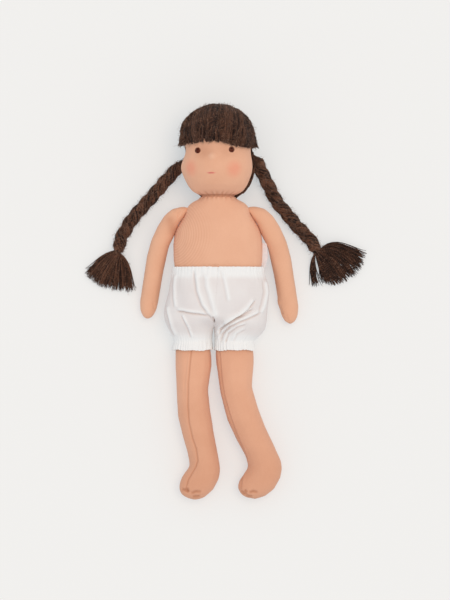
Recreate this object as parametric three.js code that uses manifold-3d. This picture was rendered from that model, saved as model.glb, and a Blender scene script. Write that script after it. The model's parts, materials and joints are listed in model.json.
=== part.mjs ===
// A stuffed cloth doll lying on its back: knit skins over wool fillings, arms and legs that swing
// at their sewn seams, a head that turns on its neck, yarn hair with two plaits, and bloomers.
// Millimetres. +Y runs up to the head, +Z out of the chest, +X to the doll's own left side.
// The origin lies under the belly, on the flat that the back rests on.

import * as THREE from 'three';
import { mergeVertices } from 'three/addons/utils/BufferGeometryUtils.js';
import Module from 'manifold-3d';

const wasm = await Module();
wasm.setup();

// Driving sizes
const gap = 0.3; // between pieces that touch
const restDepth = 0.5; // how far a stuffed form is pressed flat where it lies
const overrun = 5; // how far a cutting block runs past what it cuts
const skinWall = 1.0; // knit jersey, doubled at its seams
const packing = 0.35; // slack between a skin and its wool
const thread = 0.8; // thickness of the tying threads inside the head

const torso = { neckHeight: 50.8, length: 118.5, width: 84, depth: 51 };
const neck = { radius: 14.3, height: 31, tuckedIn: 7.5, collar: 2, rise: 0.7 };
const head = { height: 87.9, width: 66.5, depth: 66, turn: -6, nose: 1.4 };
const hair = { thickness: 3.5, lock: 0.35, partingWidth: 1.0, fringeTilt: -3.4, backEdgeAngle: 18 };
const eye = { radius: 2.4, rise: 0.8 };
const mouth = { width: 8, height: 1.7, rise: 0.6 };

const arm = { pivotHeight: 28, width: 17.5, thickness: 17.5, shoulderEase: 0.9 };
const hip = { bead: 1.4, middle: -4.57 };
const leg = { length: 133, width: 32.4, front: 8, cuffParting: 2.7 };
const foot = { size: 28.8, thickness: 28 };

const plait = {
  strandRadius: 2.9, tightRadius: 2.0, swing: 4.3, lift: 3.0, period: 39,
  rootRadius: 5.8, rootEase: 0.6, rootAngle: 30,
};
const tie = { width: 3, thickness: 1.0 };
const tassel = { thickness: 10, endThickness: 3.5, lockCut: 2.2, neckWidth: 4.6 };

const cloth = {
  wall: 0.8, crotchEase: 3.3, fullness: 6.4, puff: 2.2, frontFullness: 9.6,
  foldHeight: 1.8, foldPeriod: 78, gather: 1.0, ruffle: 6,
};
const elastic = { width: 4, thickness: 0.8 };
const label = { length: 22, reach: 4.2, thickness: 0.9 };

// What differs between the doll's right side (-X) and its left side (+X). The cloth's out shares
// give how full each row of a cloth leg is at its outer side. A fan's angles are those of its first
// and last ray, counted from +X. Its flares bend the rays near the tie.
const sides = {
  right: {
    sign: -1,
    armReach: 101.7,
    armFullnessShare: 1,
    legFullnessShare: 1,
    legDriftShares: [0, 0, -0.004, 0.007, 0.036, 0.068, 0.083],
    footTurn: 9.5,
    clothFullness: 8.8,
    clothOutShares: [1, 0.95, 0.65, 0.35, 0.12],
    plaitRootShare: 0.345,
    plaitOut: 58.6,
    plaitDown: 82,
    plaitRouteShares: [[0.241, 0.183], [0.495, 0.391], [0.76, 0.6], [0.885, 0.739], [0.985, 0.878]],
    fanAngles: { start: 210, end: 295, startFlare: 34, endFlare: 28 },
    fanStartLength: 38.5,
    fanEndLength: 39.5,
  },
  left: {
    sign: 1,
    armReach: 106.4,
    armFullnessShare: 1.06,
    legFullnessShare: 1.03,
    legDriftShares: [0, 0.002, 0.014, 0.062, 0.12, 0.184, 0.214],
    footTurn: 12.5,
    clothFullness: 12.2,
    clothOutShares: [1, 1, 0.97, 0.77, 0.42],
    plaitRootShare: 0.385,
    plaitOut: 57,
    plaitDown: 85.5,
    plaitRouteShares: [[0.05, 0.107], [0.17, 0.262], [0.305, 0.439], [0.455, 0.562], [0.64, 0.712],
      [0.85, 0.856]],
    fanAngles: { start: 267, end: 353, startFlare: 12, endFlare: 44 },
    fanStartLength: 35.5,
    fanEndLength: 46,
  },
};

const counts = {
  torso: 24, head: 24, limb: 14, strandSides: 5, strandStepsPerPeriod: 8, hips: 40, cuff: 20, folds: 9,
  fanColumns: 14, fanRows: 4, dome: 10, knot: 12, rootRound: 10, rootRings: 6,
};

// Materials
const materials = {
  skin: { color: 0xe5b08e, roughness: 0.9 },
  face: { color: 0xe0aa88, roughness: 0.9 },
  wool: { color: 0xefe6d4, roughness: 1 },
  yarn: { color: 0x4a2c22, roughness: 0.95 },
  tie: { color: 0x3a221b, roughness: 0.95 },
  eye: { color: 0x4a2a1e, roughness: 0.6 },
  mouth: { color: 0xc9685f, roughness: 0.7 },
  cotton: { color: 0xf2efec, roughness: 0.85 },
  elastic: { color: 0xf7f6f3, roughness: 0.7 },
  thread: { color: 0xe8d9c4, roughness: 0.7 },
  label: { color: 0xf4f1ee, roughness: 0.6 },
};

// Sections: an oval across a form. It has a centre, a half axis lying in the plane of the table
// (hx, hy), and heights up and down from the centre.
function section(x, y, top, bottom, hx, hy = 0) {
  const z = (top + bottom) / 2;
  return { x, y, z, hx, hy, up: top - z, down: z - bottom };
}
function resized(s, by) {
  const half = Math.hypot(s.hx, s.hy);
  const scale = (half + by) / half;
  return { ...s, hx: s.hx * scale, hy: s.hy * scale, up: s.up + by, down: s.down + by };
}
const thinWallShare = 0.35;
function hollowed(s, wall) {
  const inner = resized(s, -wall);
  inner.up = Math.max(inner.up, s.up * thinWallShare);
  inner.down = Math.max(inner.down, s.down * thinWallShare);
  return inner;
}
function ringPoints(s, count, ripple = 0) {
  const points = [];
  for (let i = 0; i < count; i += 1) {
    const angle = (2 * Math.PI * i) / count;
    const wave = ripple * (i % 2 === 0 ? 1 : -1);
    const half = Math.hypot(s.hx, s.hy);
    const across = (Math.cos(angle) * (half + wave)) / half;
    const rise = Math.sin(angle) * ((Math.sin(angle) > 0 ? s.up : s.down) + wave);
    points.push(new THREE.Vector3(s.x + s.hx * across, s.y + s.hy * across, s.z + rise));
  }
  return points;
}
function centreOf(s) {
  return [new THREE.Vector3(s.x, s.y, s.z)];
}

// Turns rings of points into a closed surface. A ring of one point is a tip. A looped stack joins
// its last ring back to its first.
function stack(rings, looped = false) {
  const position = [];
  const index = [];
  const starts = [];
  for (const ring of rings) {
    starts.push(position.length / 3);
    for (const p of ring) position.push(p.x, p.y, p.z);
  }
  const last = looped ? rings.length : rings.length - 1;
  for (let r = 0; r < last; r += 1) {
    const next = (r + 1) % rings.length;
    const a = starts[r];
    const b = starts[next];
    const count = Math.max(rings[r].length, rings[next].length);
    for (let i = 0; i < count; i += 1) {
      const j = (i + 1) % count;
      if (rings[r].length === 1) index.push(a, b + j, b + i);
      else if (rings[next].length === 1) index.push(a + i, a + j, b);
      else index.push(a + i, a + j, b + j, a + i, b + j, b + i);
    }
  }
  return closedGeometry(position, index);
}

// A thin slab between two grids of points of the same size
function slab(top, bottom) {
  const rows = top.length;
  const columns = top[0].length;
  const position = [];
  const index = [];
  for (const p of [...top, ...bottom].flat()) position.push(p.x, p.y, p.z);
  const upper = (r, c) => r * columns + c;
  const lower = (r, c) => rows * columns + r * columns + c;
  const quad = (a, b, c, d) => index.push(a, b, c, a, c, d);
  for (let r = 0; r < rows - 1; r += 1) {
    for (let c = 0; c < columns - 1; c += 1) {
      quad(upper(r, c), upper(r, c + 1), upper(r + 1, c + 1), upper(r + 1, c));
      quad(lower(r, c), lower(r + 1, c), lower(r + 1, c + 1), lower(r, c + 1));
    }
    quad(upper(r, 0), upper(r + 1, 0), lower(r + 1, 0), lower(r, 0));
    const edge = columns - 1;
    quad(upper(r, edge), lower(r, edge), lower(r + 1, edge), upper(r + 1, edge));
  }
  for (let c = 0; c < columns - 1; c += 1) {
    quad(upper(0, c), lower(0, c), lower(0, c + 1), upper(0, c + 1));
    const end = rows - 1;
    quad(upper(end, c), upper(end, c + 1), lower(end, c + 1), lower(end, c));
  }
  return closedGeometry(position, index);
}

// A geometry whose faces point out, whichever way round its points were listed
function closedGeometry(position, index) {
  let volume = 0;
  const at = (i) => new THREE.Vector3(...position.slice(3 * i, 3 * i + 3));
  for (let i = 0; i < index.length; i += 3) {
    volume += at(index[i]).dot(at(index[i + 1]).cross(at(index[i + 2])));
  }
  if (volume < 0) index.reverse();
  const geometry = new THREE.BufferGeometry();
  geometry.setAttribute('position', new THREE.Float32BufferAttribute(position, 3));
  geometry.setIndex(index);
  geometry.computeVertexNormals();
  return geometry;
}

// Booleans
function solidOf(geometry) {
  const bare = geometry.clone();
  bare.deleteAttribute('normal');
  bare.deleteAttribute('uv');
  const merged = mergeVertices(bare);
  return new wasm.Manifold(new wasm.Mesh({
    numProp: 3,
    vertProperties: new Float32Array(merged.attributes.position.array),
    triVerts: new Uint32Array(merged.index.array),
  }));
}
function geometryOf(solid) {
  const mesh = solid.getMesh();
  return closedGeometry(Array.from(mesh.vertProperties), Array.from(mesh.triVerts));
}
function block(xMin, xMax, yMin, yMax, zMin, zMax, tilt = 0, pivotY = 0) {
  const box = new THREE.BoxGeometry(xMax - xMin, yMax - yMin, zMax - zMin);
  box.translate((xMin + xMax) / 2, (yMin + yMax) / 2 - pivotY, (zMin + zMax) / 2);
  box.rotateZ(THREE.MathUtils.degToRad(tilt));
  box.translate(0, pivotY, 0);
  return solidOf(box);
}

// Presses a form flat where it lies on the table, whatever way its group is turned
const tableReach = torso.length + leg.length + head.height;
function pressedFlat(geometry, group) {
  const table = new THREE.BoxGeometry(2 * tableReach, 2 * tableReach, overrun);
  table.translate(0, 0, -overrun / 2);
  group.updateMatrixWorld(true);
  table.applyMatrix4(group.matrixWorld.clone().invert());
  return geometryOf(solidOf(geometry).subtract(solidOf(table)));
}

// A knit skin, open at its first section, and the wool packed in it. Where the form is too thin
// for wool near a seam, the wool starts further on.
function skinShell(outer, tip, count, innerEnd = outer.length) {
  const inside = outer.slice(0, innerEnd).map((s) => hollowed(s, skinWall));
  const rings = [tip ?? centreOf(outer[outer.length - 1])];
  for (const s of [...outer].reverse()) rings.push(ringPoints(s, count));
  for (const s of inside) rings.push(ringPoints(s, count));
  rings.push(centreOf(inside[inside.length - 1]));
  return stack(rings);
}
function filling(outer, count, from, to) {
  const fit = (s) => {
    const inner = resized(s, -skinWall);
    const half = Math.hypot(inner.hx, inner.hy);
    return resized(inner, -packing - half * (1 - Math.cos(Math.PI / count)));
  };
  const packed = outer.slice(from, to).map(fit);
  const rings = packed.map((s) => ringPoints(s, count / 2));
  return stack([centreOf(packed[0]), ...rings, centreOf(packed[packed.length - 1])]);
}
function band(outerSections, innerSections, count) {
  const [outerStart, outerEnd] = outerSections.map((s) => ringPoints(s, count));
  const [innerStart, innerEnd] = innerSections.map((s) => ringPoints(s, count));
  return stack([outerStart, outerEnd, innerEnd, innerStart], true);
}

const doll = new THREE.Group();
function add(parent, name, geometry, look) {
  const mesh = new THREE.Mesh(
    geometry, new THREE.MeshStandardMaterial({ ...materials[look], metalness: 0 }));
  mesh.name = name;
  parent.add(mesh);
  return mesh;
}

// Torso: a flat bag of jersey, round at the neck, widest at the waist and thin at the leg seam.
// Columns: share of the length from the neck, of the width, of the depth at the front and back,
// and of the width that the middle drifts to the doll's right.
const torsoShares = [
  [0.06, 0.543, 0.92, 0.245, 0],
  [0.108, 0.69, 0.94, 0.167, 0],
  [0.156, 0.76, 0.955, 0.104, 0],
  [0.204, 0.838, 0.97, 0.061, 0],
  [0.26, 0.92, 0.98, 0.03, 0],
  [0.317, 0.966, 0.99, 0.01, 0],
  [0.389, 0.993, 1, 0, 0],
  [0.477, 1, 0.995, 0, 0],
  [0.528, 0.99, 0.985, 0.03, 0],
  [0.565, 0.976, 0.97, 0.08, 0],
  [0.65, 0.976, 0.97, 0.08, 0],
  [0.717, 1, 0.955, 0.066, 0],
  [0.797, 0.995, 0.905, 0.07, 0.005],
  [0.877, 0.97, 0.81, 0.11, 0.017],
  [0.942, 0.93, 0.64, 0.225, 0.03],
  [0.98, 0.895, 0.525, 0.355, 0.042],
  [1, 0.874, 0.472, 0.412, 0.046],
];
const waistRow = 9;
const shoulderRow = 2;
const collarRadius = neck.radius + gap / Math.cos(Math.PI / counts.torso) + skinWall;
function torsoSection([along, width, front, back, drift]) {
  return section(
    -drift * torso.width,
    torso.neckHeight - along * torso.length,
    front * torso.depth - restDepth,
    back * torso.depth - restDepth,
    (width * torso.width) / 2,
  );
}
function neckSection(y, radius) {
  return section(0, y, neck.height + radius, neck.height - radius, radius);
}
const torsoBody = torsoShares.map(torsoSection);
const torsoOuter = [
  neckSection(torso.neckHeight, collarRadius),
  neckSection(torso.neckHeight - neck.collar, collarRadius),
  ...torsoBody,
];
const torsoRows = torsoOuter.length;
add(doll, 'torso_skin', pressedFlat(
  skinShell(torsoOuter, null, counts.torso, torsoRows - 1), doll), 'skin');

// The wool of the torso stops under the tucked-in neck of the head
const woolTop = torso.neckHeight - neck.tuckedIn - gap;
const woolRow = torsoOuter.findIndex((s) => s.y < woolTop - skinWall);
add(doll, 'torso_filling', filling(torsoOuter, counts.torso, woolRow, torsoRows - 2), 'wool');

// Waist elastic and side label
const waist = [torsoBody[waistRow], torsoBody[waistRow + 1]];
const elasticMiddle = (waist[0].y + waist[1].y) / 2;
const atHeight = (s, y) => ({ ...s, y });
const elasticEnds = [elasticMiddle + elastic.width / 2, elasticMiddle - elastic.width / 2];
add(doll, 'waist_elastic', band(
  elasticEnds.map((y) => atHeight(resized(waist[0], gap + elastic.thickness), y)),
  elasticEnds.map((y) => atHeight(resized(waist[0], gap), y)),
  counts.torso), 'elastic');

const labelEdge = torso.width / 2 + gap;
const labelHeight = torso.depth / 2 - restDepth;
const labelTipShares = [0.62, 0.85, 1, 1.12, 0.8];
const labelBottom = waist[0].y + 2 * gap;
function labelGrid(height) {
  return labelTipShares.map((reach, row) => {
    const y = labelBottom + label.length * (1 - row / (labelTipShares.length - 1));
    return [
      new THREE.Vector3(labelEdge, y, height),
      new THREE.Vector3(labelEdge + label.reach * reach, y, height),
    ];
  });
}
add(doll, 'side_label', slab(
  labelGrid(labelHeight + label.thickness / 2),
  labelGrid(labelHeight - label.thickness / 2)), 'label');

// Head: built about the neck's axis, then turned a little to the doll's right.
// Columns: share of the height from the neck seam, of the half width, and of the half depth
// towards the face and the back.
const headShares = [
  [0.03, 0.53, 0.4, 0.688],
  [0.06, 0.68, 0.585, 0.81],
  [0.114, 0.83, 0.767, 0.9],
  [0.178, 0.915, 0.88, 0.945],
  [0.243, 0.972, 0.958, 0.97],
  [0.31, 1, 0.994, 0.982],
  [0.373, 0.984, 0.976, 0.982],
  [0.44, 0.95, 0.94, 0.98],
  [0.5, 0.938, 0.915, 0.976],
  [0.57, 0.953, 0.933, 0.976],
  [0.63, 0.96, 0.94, 0.973],
  [0.7, 0.938, 0.9, 0.95],
  [0.76, 0.881, 0.836, 0.9],
  [0.83, 0.749, 0.706, 0.78],
  [0.88, 0.6, 0.565, 0.635],
  [0.92, 0.43, 0.405, 0.475],
  [0.947, 0.23, 0.22, 0.27],
];
const crownHeightShare = 0.957;
const noseRow = 7;
const eyeLineRow = 8;
const headBack = (head.depth / 2) * Math.max(...headShares.map((row) => row[3]));
const headCentre = headBack + gap + hair.thickness + hair.lock - restDepth;
const headLevel = headCentre - neck.height;
function headSection([height, width, face, back]) {
  const s = section(0, height * head.height, 0, 0, (width * head.width) / 2);
  return { ...s, z: headLevel, up: (face * head.depth) / 2, down: (back * head.depth) / 2 };
}
const headRows = headShares.map(headSection);
const neckTube = [
  section(0, -neck.tuckedIn, neck.radius, -neck.radius, neck.radius),
  section(0, neck.rise, neck.radius, -neck.radius, neck.radius),
];
const crown = [new THREE.Vector3(0, head.height * crownHeightShare, headLevel)];
const headGroup = new THREE.Group();
headGroup.position.set(0, torso.neckHeight, neck.height);
headGroup.rotation.y = THREE.MathUtils.degToRad(head.turn);
doll.add(headGroup);

// Skin, with the nose as a small bump on the middle of the face
function headSkin() {
  const outer = [...neckTube, ...headRows].map((s) => ringPoints(s, counts.head));
  const front = counts.head / 4;
  outer[neckTube.length + noseRow][front].z += head.nose;
  const lining = [...neckTube, ...headRows.slice(0, -1)].map((s) => hollowed(s, skinWall));
  const inner = lining.map((s) => ringPoints(s, counts.head));
  const innerCrown = [crown[0].clone().sub(new THREE.Vector3(0, skinWall, 0))];
  return stack([crown, ...outer.reverse(), ...inner, innerCrown]);
}
add(headGroup, 'head_skin', headSkin(), 'face');

// Wool ball, drawn in by a thread at the eye line and by one at the neck
const halfCount = counts.head / 2;
const sag = (half) => half * (1 - Math.cos(Math.PI / counts.head));
const packedIn = (s) => resized(s, -skinWall - packing - sag(s.hx));
const tied = (s) => resized(packedIn(s), -gap - thread);
function headCore() {
  const tube = neckTube.map(tied);
  const ball = headRows.slice(0, -1)
    .map((s, row) => (row === eyeLineRow ? tied(s) : packedIn(s)));
  const top = [crown[0].clone().sub(new THREE.Vector3(0, skinWall + packing + gap, 0))];
  const rings = [...tube, ...ball].map((s) => ringPoints(s, halfCount));
  return stack([centreOf(tube[0]), ...rings, top]);
}
add(headGroup, 'head_core', headCore(), 'wool');
function threadRing(s, width) {
  const ends = [s.y + width / 2, s.y - width / 2];
  return band(
    ends.map((y) => atHeight(packedIn(s), y)),
    ends.map((y) => atHeight(resized(packedIn(s), -thread), y)),
    halfCount);
}
add(headGroup, 'eye_line_thread', threadRing(headRows[eyeLineRow], thread), 'thread');
add(headGroup, 'neck_thread', threadRing(
  atHeight(neckTube[0], -neck.tuckedIn / 2), 2 * thread), 'thread');

// Hair: a layer of yarn laid over the head, in locks that meet along a parting at the back
function grown(rows, row, by) {
  const [below, above] = [rows[Math.max(row - 1, 0)], rows[Math.min(row + 1, rows.length - 1)]];
  const slope = new THREE.Vector2(above.y - below.y, below.hx - above.hx).normalize();
  return { ...resized(rows[row], by * slope.x), y: rows[row].y + by * slope.y };
}
function headLoft(by, ripple) {
  const rows = headRows.slice(1).map((s, row, all) => grown(all, row, by));
  const top = [crown[0].clone().add(new THREE.Vector3(0, by, 0))];
  const rings = rows.map((s) => ringPoints(s, counts.head, ripple));
  return solidOf(stack([centreOf(rows[0]), ...rings, top]));
}
const scalp = headLoft(gap, 0);
const hairLayer = headLoft(gap + hair.thickness, hair.lock).subtract(scalp);
const hairReach = head.width / 2 + hair.thickness + overrun;
const hairFloorShare = 0.085;
const fringeEdgeShare = 0.565;
const hairFloor = hairFloorShare * head.height;
const hairTop = head.height + hair.thickness + overrun;
const backEdge = headLevel
  - (head.depth / 2) * Math.sin(THREE.MathUtils.degToRad(hair.backEdgeAngle));
const fringeEdge = fringeEdgeShare * head.height;
const fringe = hairLayer
  .intersect(block(-hairReach, hairReach, fringeEdge, hairTop + overrun, -hairReach, 2 * hairReach,
    hair.fringeTilt))
  .intersect(block(-hairReach, hairReach, 0, hairTop, backEdge + gap / 2, 2 * hairReach));
add(headGroup, 'hair_fringe', geometryOf(fringe), 'yarn');
const partingHalf = hair.partingWidth / 2;
function backHair(from, to) {
  const half = hairLayer.intersect(
    block(from, to, hairFloor, hairTop, -2 * hairReach, backEdge - gap / 2));
  return pressedFlat(geometryOf(half), headGroup);
}
add(headGroup, 'hair_back_right', backHair(-hairReach, -partingHalf - gap), 'yarn');
add(headGroup, 'hair_back_left', backHair(partingHalf + gap, hairReach), 'yarn');
const partingLayer = headLoft(gap + hair.thickness / 2, 0).subtract(scalp);
add(headGroup, 'parting_seam', geometryOf(partingLayer.intersect(
  block(-partingHalf, partingHalf, hairFloor, hairTop, -2 * hairReach, backEdge - gap / 2))),
'thread');

// Embroidered eyes and mouth: low domes of stitching that lie on the face. Each place is a share
// of the head's height, then of its half width there.
const eyeRightShares = [0.48, -0.52];
const eyeLeftShares = [0.482, 0.545];
const mouthShares = [0.235, -0.03];
const domeShares = [[0, 0], [1, 0], [0.92, 0.55], [0.6, 0.9], [0, 1]];
function facePlace(heightShare, acrossShare) {
  const next = headRows.findIndex((s) => s.y > heightShare * head.height);
  const [a, b] = [headRows[next - 1], headRows[next]];
  const mix = (heightShare * head.height - a.y) / (b.y - a.y);
  const half = THREE.MathUtils.lerp(a.hx, b.hx, mix);
  const depth = THREE.MathUtils.lerp(a.up, b.up, mix);
  const angle = Math.acos(acrossShare);
  const normal = new THREE.Vector3(Math.cos(angle) / half, 0, Math.sin(angle) / depth).normalize();
  const point = new THREE.Vector3(
    half * Math.cos(angle), heightShare * head.height, headLevel + depth * Math.sin(angle));
  return { point, normal };
}
function dome(radius, rise) {
  return new THREE.LatheGeometry(
    domeShares.map(([r, h]) => new THREE.Vector2(r * radius, h * rise)), counts.dome);
}
function embroider(name, geometry, placeShares, look) {
  const { point, normal } = facePlace(...placeShares);
  const mesh = add(headGroup, name, geometry, look);
  mesh.position.copy(point).addScaledVector(normal, gap + sag(head.width / 2));
  mesh.quaternion.setFromUnitVectors(new THREE.Vector3(0, 1, 0), normal);
  return mesh;
}
embroider('eye_right', dome(eye.radius, eye.rise), eyeRightShares, 'eye');
embroider('eye_left', dome(eye.radius, eye.rise), eyeLeftShares, 'eye');
const lips = dome(mouth.width / 2, mouth.rise);
lips.scale(1, 1, mouth.height / mouth.width);
embroider('mouth', lips, mouthShares, 'mouth');

// Arms: each starts flat at its shoulder seam, bends down beside the torso and ends in a mitten
// hand on the table. Columns: inner edge as shares of the reach, out from the seam and down;
// width as a share; turn of the section in degrees; share of the way up from where the hand
// rests to the pivot; thickness as a share.
const armShares = [
  [0.026, 0.058, 0.55, -102, 1, 0.46],
  [0.05, 0.088, 0.79, -88, 1, 0.8],
  [0.069, 0.117, 0.89, -68, 0.98, 0.92],
  [0.092, 0.163, 0.95, -51, 0.94, 0.96],
  [0.12, 0.224, 0.96, -34, 0.86, 0.98],
  [0.153, 0.304, 0.98, -14, 0.73, 1],
  [0.178, 0.425, 1.05, -4, 0.55, 1],
  [0.209, 0.56, 1, 0, 0.38, 0.99],
  [0.235, 0.71, 0.99, 0, 0.2, 0.99],
  [0.256, 0.832, 0.99, 3, 0, 0.99],
  [0.276, 0.915, 0.84, 2, 0, 0.86],
  [0.309, 0.971, 0.51, 1, 0, 0.58],
];
const armTipShare = [0.356, 1];
const shoulder = torsoBody[shoulderRow];
const shoulderShare = 0.6;
const shoulderY = THREE.MathUtils.lerp(shoulder.y, torsoBody[shoulderRow - 1].y, shoulderShare);
const shoulderHalf = THREE.MathUtils.lerp(shoulder.hx, torsoBody[shoulderRow - 1].hx, shoulderShare);
const shoulderEdge = shoulderHalf + arm.shoulderEase;
const handDrop = arm.thickness / 2 - restDepth - arm.pivotHeight;
function armSections({ sign, armReach, armFullnessShare }) {
  return armShares.map(([out, down, wide, turn, high, thick]) => {
    const half = (wide * arm.width * armFullnessShare) / 2;
    const angle = THREE.MathUtils.degToRad(turn);
    const hx = half * Math.cos(angle);
    const hy = half * Math.sin(angle);
    const z = (1 - high) * handDrop;
    const rise = (thick * arm.thickness * armFullnessShare) / 2;
    return section(
      sign * (out * armReach + hx), -down * armReach - hy, z + rise, z - rise, sign * hx, -hy);
  });
}
function addArm(side, name) {
  const group = new THREE.Group();
  group.position.set(side.sign * shoulderEdge, shoulderY, arm.pivotHeight);
  doll.add(group);
  const outer = armSections(side);
  const [out, down] = armTipShare;
  const tip = [new THREE.Vector3(
    side.sign * out * side.armReach, -down * side.armReach, handDrop)];
  const rows = outer.length;
  const geometry = skinShell(outer, tip, counts.limb, rows - 1);
  add(group, `arm_skin_${name}`, pressedFlat(geometry, group), 'skin');
  add(group, `arm_filling_${name}`, filling(outer, counts.limb, 1, rows - 1), 'wool');
}
addArm(sides.right, 'right');
addArm(sides.left, 'left');

// Legs: flat at the hip seam, where a rolled bead lies along the hinge line, full at the calf and
// turned out at the ankle into a sock-shaped foot.
// Columns of the seam: share of the bead's radius below the hinge, of the half width and of the
// radius. Columns of the leg: share of the length below the hinge, of the half width, of the
// front above the hinge line and of the depth down to the table.
const legSeamShares = [
  [-0.93, 0.94, 0.37],
  [-0.57, 0.97, 0.82],
  [0, 1, 1],
];
const legShares = [
  [0.0105, 1, 0.076, 0.068],
  [0.06, 1.01, 0.457, 0.38],
  [0.12, 0.94, 0.896, 0.746],
  [0.148, 0.94, 0.991, 0.84],
  [0.205, 1, 0.999, 0.901],
  [0.31, 1, 0.999, 1],
  [0.48, 0.907, 0.953, 1],
  [0.654, 0.93, 0.896, 1],
  [0.79, 0.885, 0.801, 1],
  [0.915, 0.85, 0.686, 1],
  [1, 0.86, 0.648, 1],
];
const driftFromRow = 4;
const cuffRow = 2;

// The sock-shaped foot as pairs of points on the instep and on the heel and sole, as shares of
// the foot's size from the ankle's middle, then its thickness as a share
const footShares = [
  [-0.55, 0.1, 0.475, 0.32, 0.98],
  [-0.61, 0.156, 0.376, 0.61, 0.95],
  [-0.695, 0.227, 0.136, 0.915, 0.9],
  [-0.8, 0.346, -0.2, 1.08, 0.82],
  [-0.895, 0.5, -0.53, 1.105, 0.7],
  [-0.95, 0.67, -0.786, 1, 0.48],
];
const toeShare = [-0.93, 0.87];

const torsoEnd = torsoBody[torsoBody.length - 1];
const hipHeight = torsoEnd.z;
const hipY = torsoEnd.y - hip.bead - gap;
const tableDepth = hipHeight + restDepth;
const halfWidth = (side) => (leg.width * side.legFullnessShare) / 2;
function legSections(side) {
  const wide = halfWidth(side);
  const seam = legSeamShares.map(([below, width, round]) => section(
    0, -below * hip.bead, round * hip.bead, -round * hip.bead, width * wide));
  const drift = legShares.map((row, i) => (side.legDriftShares[i - driftFromRow] ?? 0) * leg.length);
  const shaft = legShares.map(([along, width, front, back], i) => {
    const before = Math.max(i - 1, 0);
    const after = Math.min(i + 1, legShares.length - 1);
    const lean = i === legShares.length - 1
      ? THREE.MathUtils.degToRad(side.footTurn)
      : Math.atan2(drift[after] - drift[before],
        (legShares[after][0] - legShares[before][0]) * leg.length);
    const half = width * wide;
    return section(drift[i], -along * leg.length, front * leg.front, -back * tableDepth,
      half * Math.cos(lean), half * Math.sin(lean));
  });
  const turn = THREE.MathUtils.degToRad(side.footTurn);
  const ankle = shaft[shaft.length - 1];
  const place = (across, along) => [
    ankle.x + (across * Math.cos(turn) + along * Math.sin(turn)) * foot.size,
    ankle.y + (across * Math.sin(turn) - along * Math.cos(turn)) * foot.size,
  ];
  const sock = footShares.map(([ax, ay, bx, by, thick]) => {
    const [frontX, frontY] = place(ax, ay);
    const [backX, backY] = place(bx, by);
    const rise = (thick * foot.thickness) / 2;
    const level = foot.thickness / 2 - tableDepth;
    return section((frontX + backX) / 2, (frontY + backY) / 2, level + rise, level - rise,
      (backX - frontX) / 2, (backY - frontY) / 2);
  });
  const [toeX, toeY] = place(...toeShare);
  const toe = [new THREE.Vector3(toeX, toeY, foot.thickness / 2 - tableDepth)];
  return { outer: [...seam, ...shaft, ...sock], toe };
}

// The cloth and the elastic stand out from the leg by this much at the cuff, and the legs stand
// apart by what the two cuffs need
const facetSag = (half, count) => half * (1 - Math.cos(Math.PI / count));
const cuffStand = gap + elastic.thickness + gap + facetSag(leg.width / 2, counts.cuff)
  + cloth.gather / 2 + cloth.wall;
function hipOffset(side) {
  const cuffHalf = halfWidth(side) * legShares[cuffRow][1];
  return hip.middle + side.sign * (leg.cuffParting / 2 + cuffStand + cuffHalf);
}
function cuffRows(outer) {
  return outer.slice(legSeamShares.length + cuffRow, legSeamShares.length + cuffRow + 2);
}
function addLeg(side, name) {
  const group = new THREE.Group();
  group.position.set(hipOffset(side), hipY, hipHeight);
  doll.add(group);
  const { outer, toe } = legSections(side);
  const rows = outer.length;
  const woolFrom = legSeamShares.length + 1;
  const geometry = skinShell(outer, toe, counts.limb, rows - 1);
  add(group, `leg_skin_${name}`, pressedFlat(geometry, group), 'skin');
  add(group, `leg_filling_${name}`, filling(outer, counts.limb, woolFrom, rows - 1), 'wool');
  const cuff = cuffRows(outer);
  add(group, `cuff_elastic_${name}`, band(
    cuff.map((s) => resized(s, gap + elastic.thickness)),
    cuff.map((s) => resized(s, gap)),
    counts.limb), 'elastic');
}
addLeg(sides.right, 'right');
addLeg(sides.left, 'left');

// Bloomers: white cotton in two panels sewn together down the middle, gathered on an elastic at
// the waist and at each cuff. Rows of the hips: share of the way from the waist to the crotch,
// then of the fullness at the doll's right side, at its left side and at the front.
const waistOuter = resized(waist[0],
  gap + elastic.thickness + gap + facetSag(torso.width / 2, counts.hips)
  + cloth.gather / 2 + cloth.wall);
const hipShares = [
  [0, 0, 0, 0],
  [0.17, 0.04, 0.1, 0.1],
  [0.27, 0.18, 0.5, 0.7],
  [0.42, 0.35, 0.68, 1],
  [0.57, 0.75, 0.5, 0.7],
  [0.73, 1.1, 0.4, -0.6],
  [0.88, 0.9, 0.3, -2.6],
  [1, 0.2, 0, -4.8],
];
const hipRippleShares = [1, 1, 1.2, 0.9, 0.6, 0.4, 0.2, 0];
const hipFoldShares = [0, 0, 0.5, 1, 1, 0.8, 0.4, 0];
const clothFoldShares = [0, 0.3, 0.6, 0.6, 0.4, 0, 0, 0];
const waistLine = waist[0].y;
const crotchY = hipY - cloth.crotchEase;
const clothBack = waistOuter.z - waistOuter.down;
const hipSections = hipShares.map(([along, right, left, puff]) => section(
  (cloth.fullness * (left - right)) / 2,
  THREE.MathUtils.lerp(waistLine, crotchY, along),
  waistOuter.z + waistOuter.up + puff * cloth.puff,
  clothBack,
  waistOuter.hx + (cloth.fullness * (left + right)) / 2));

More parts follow.
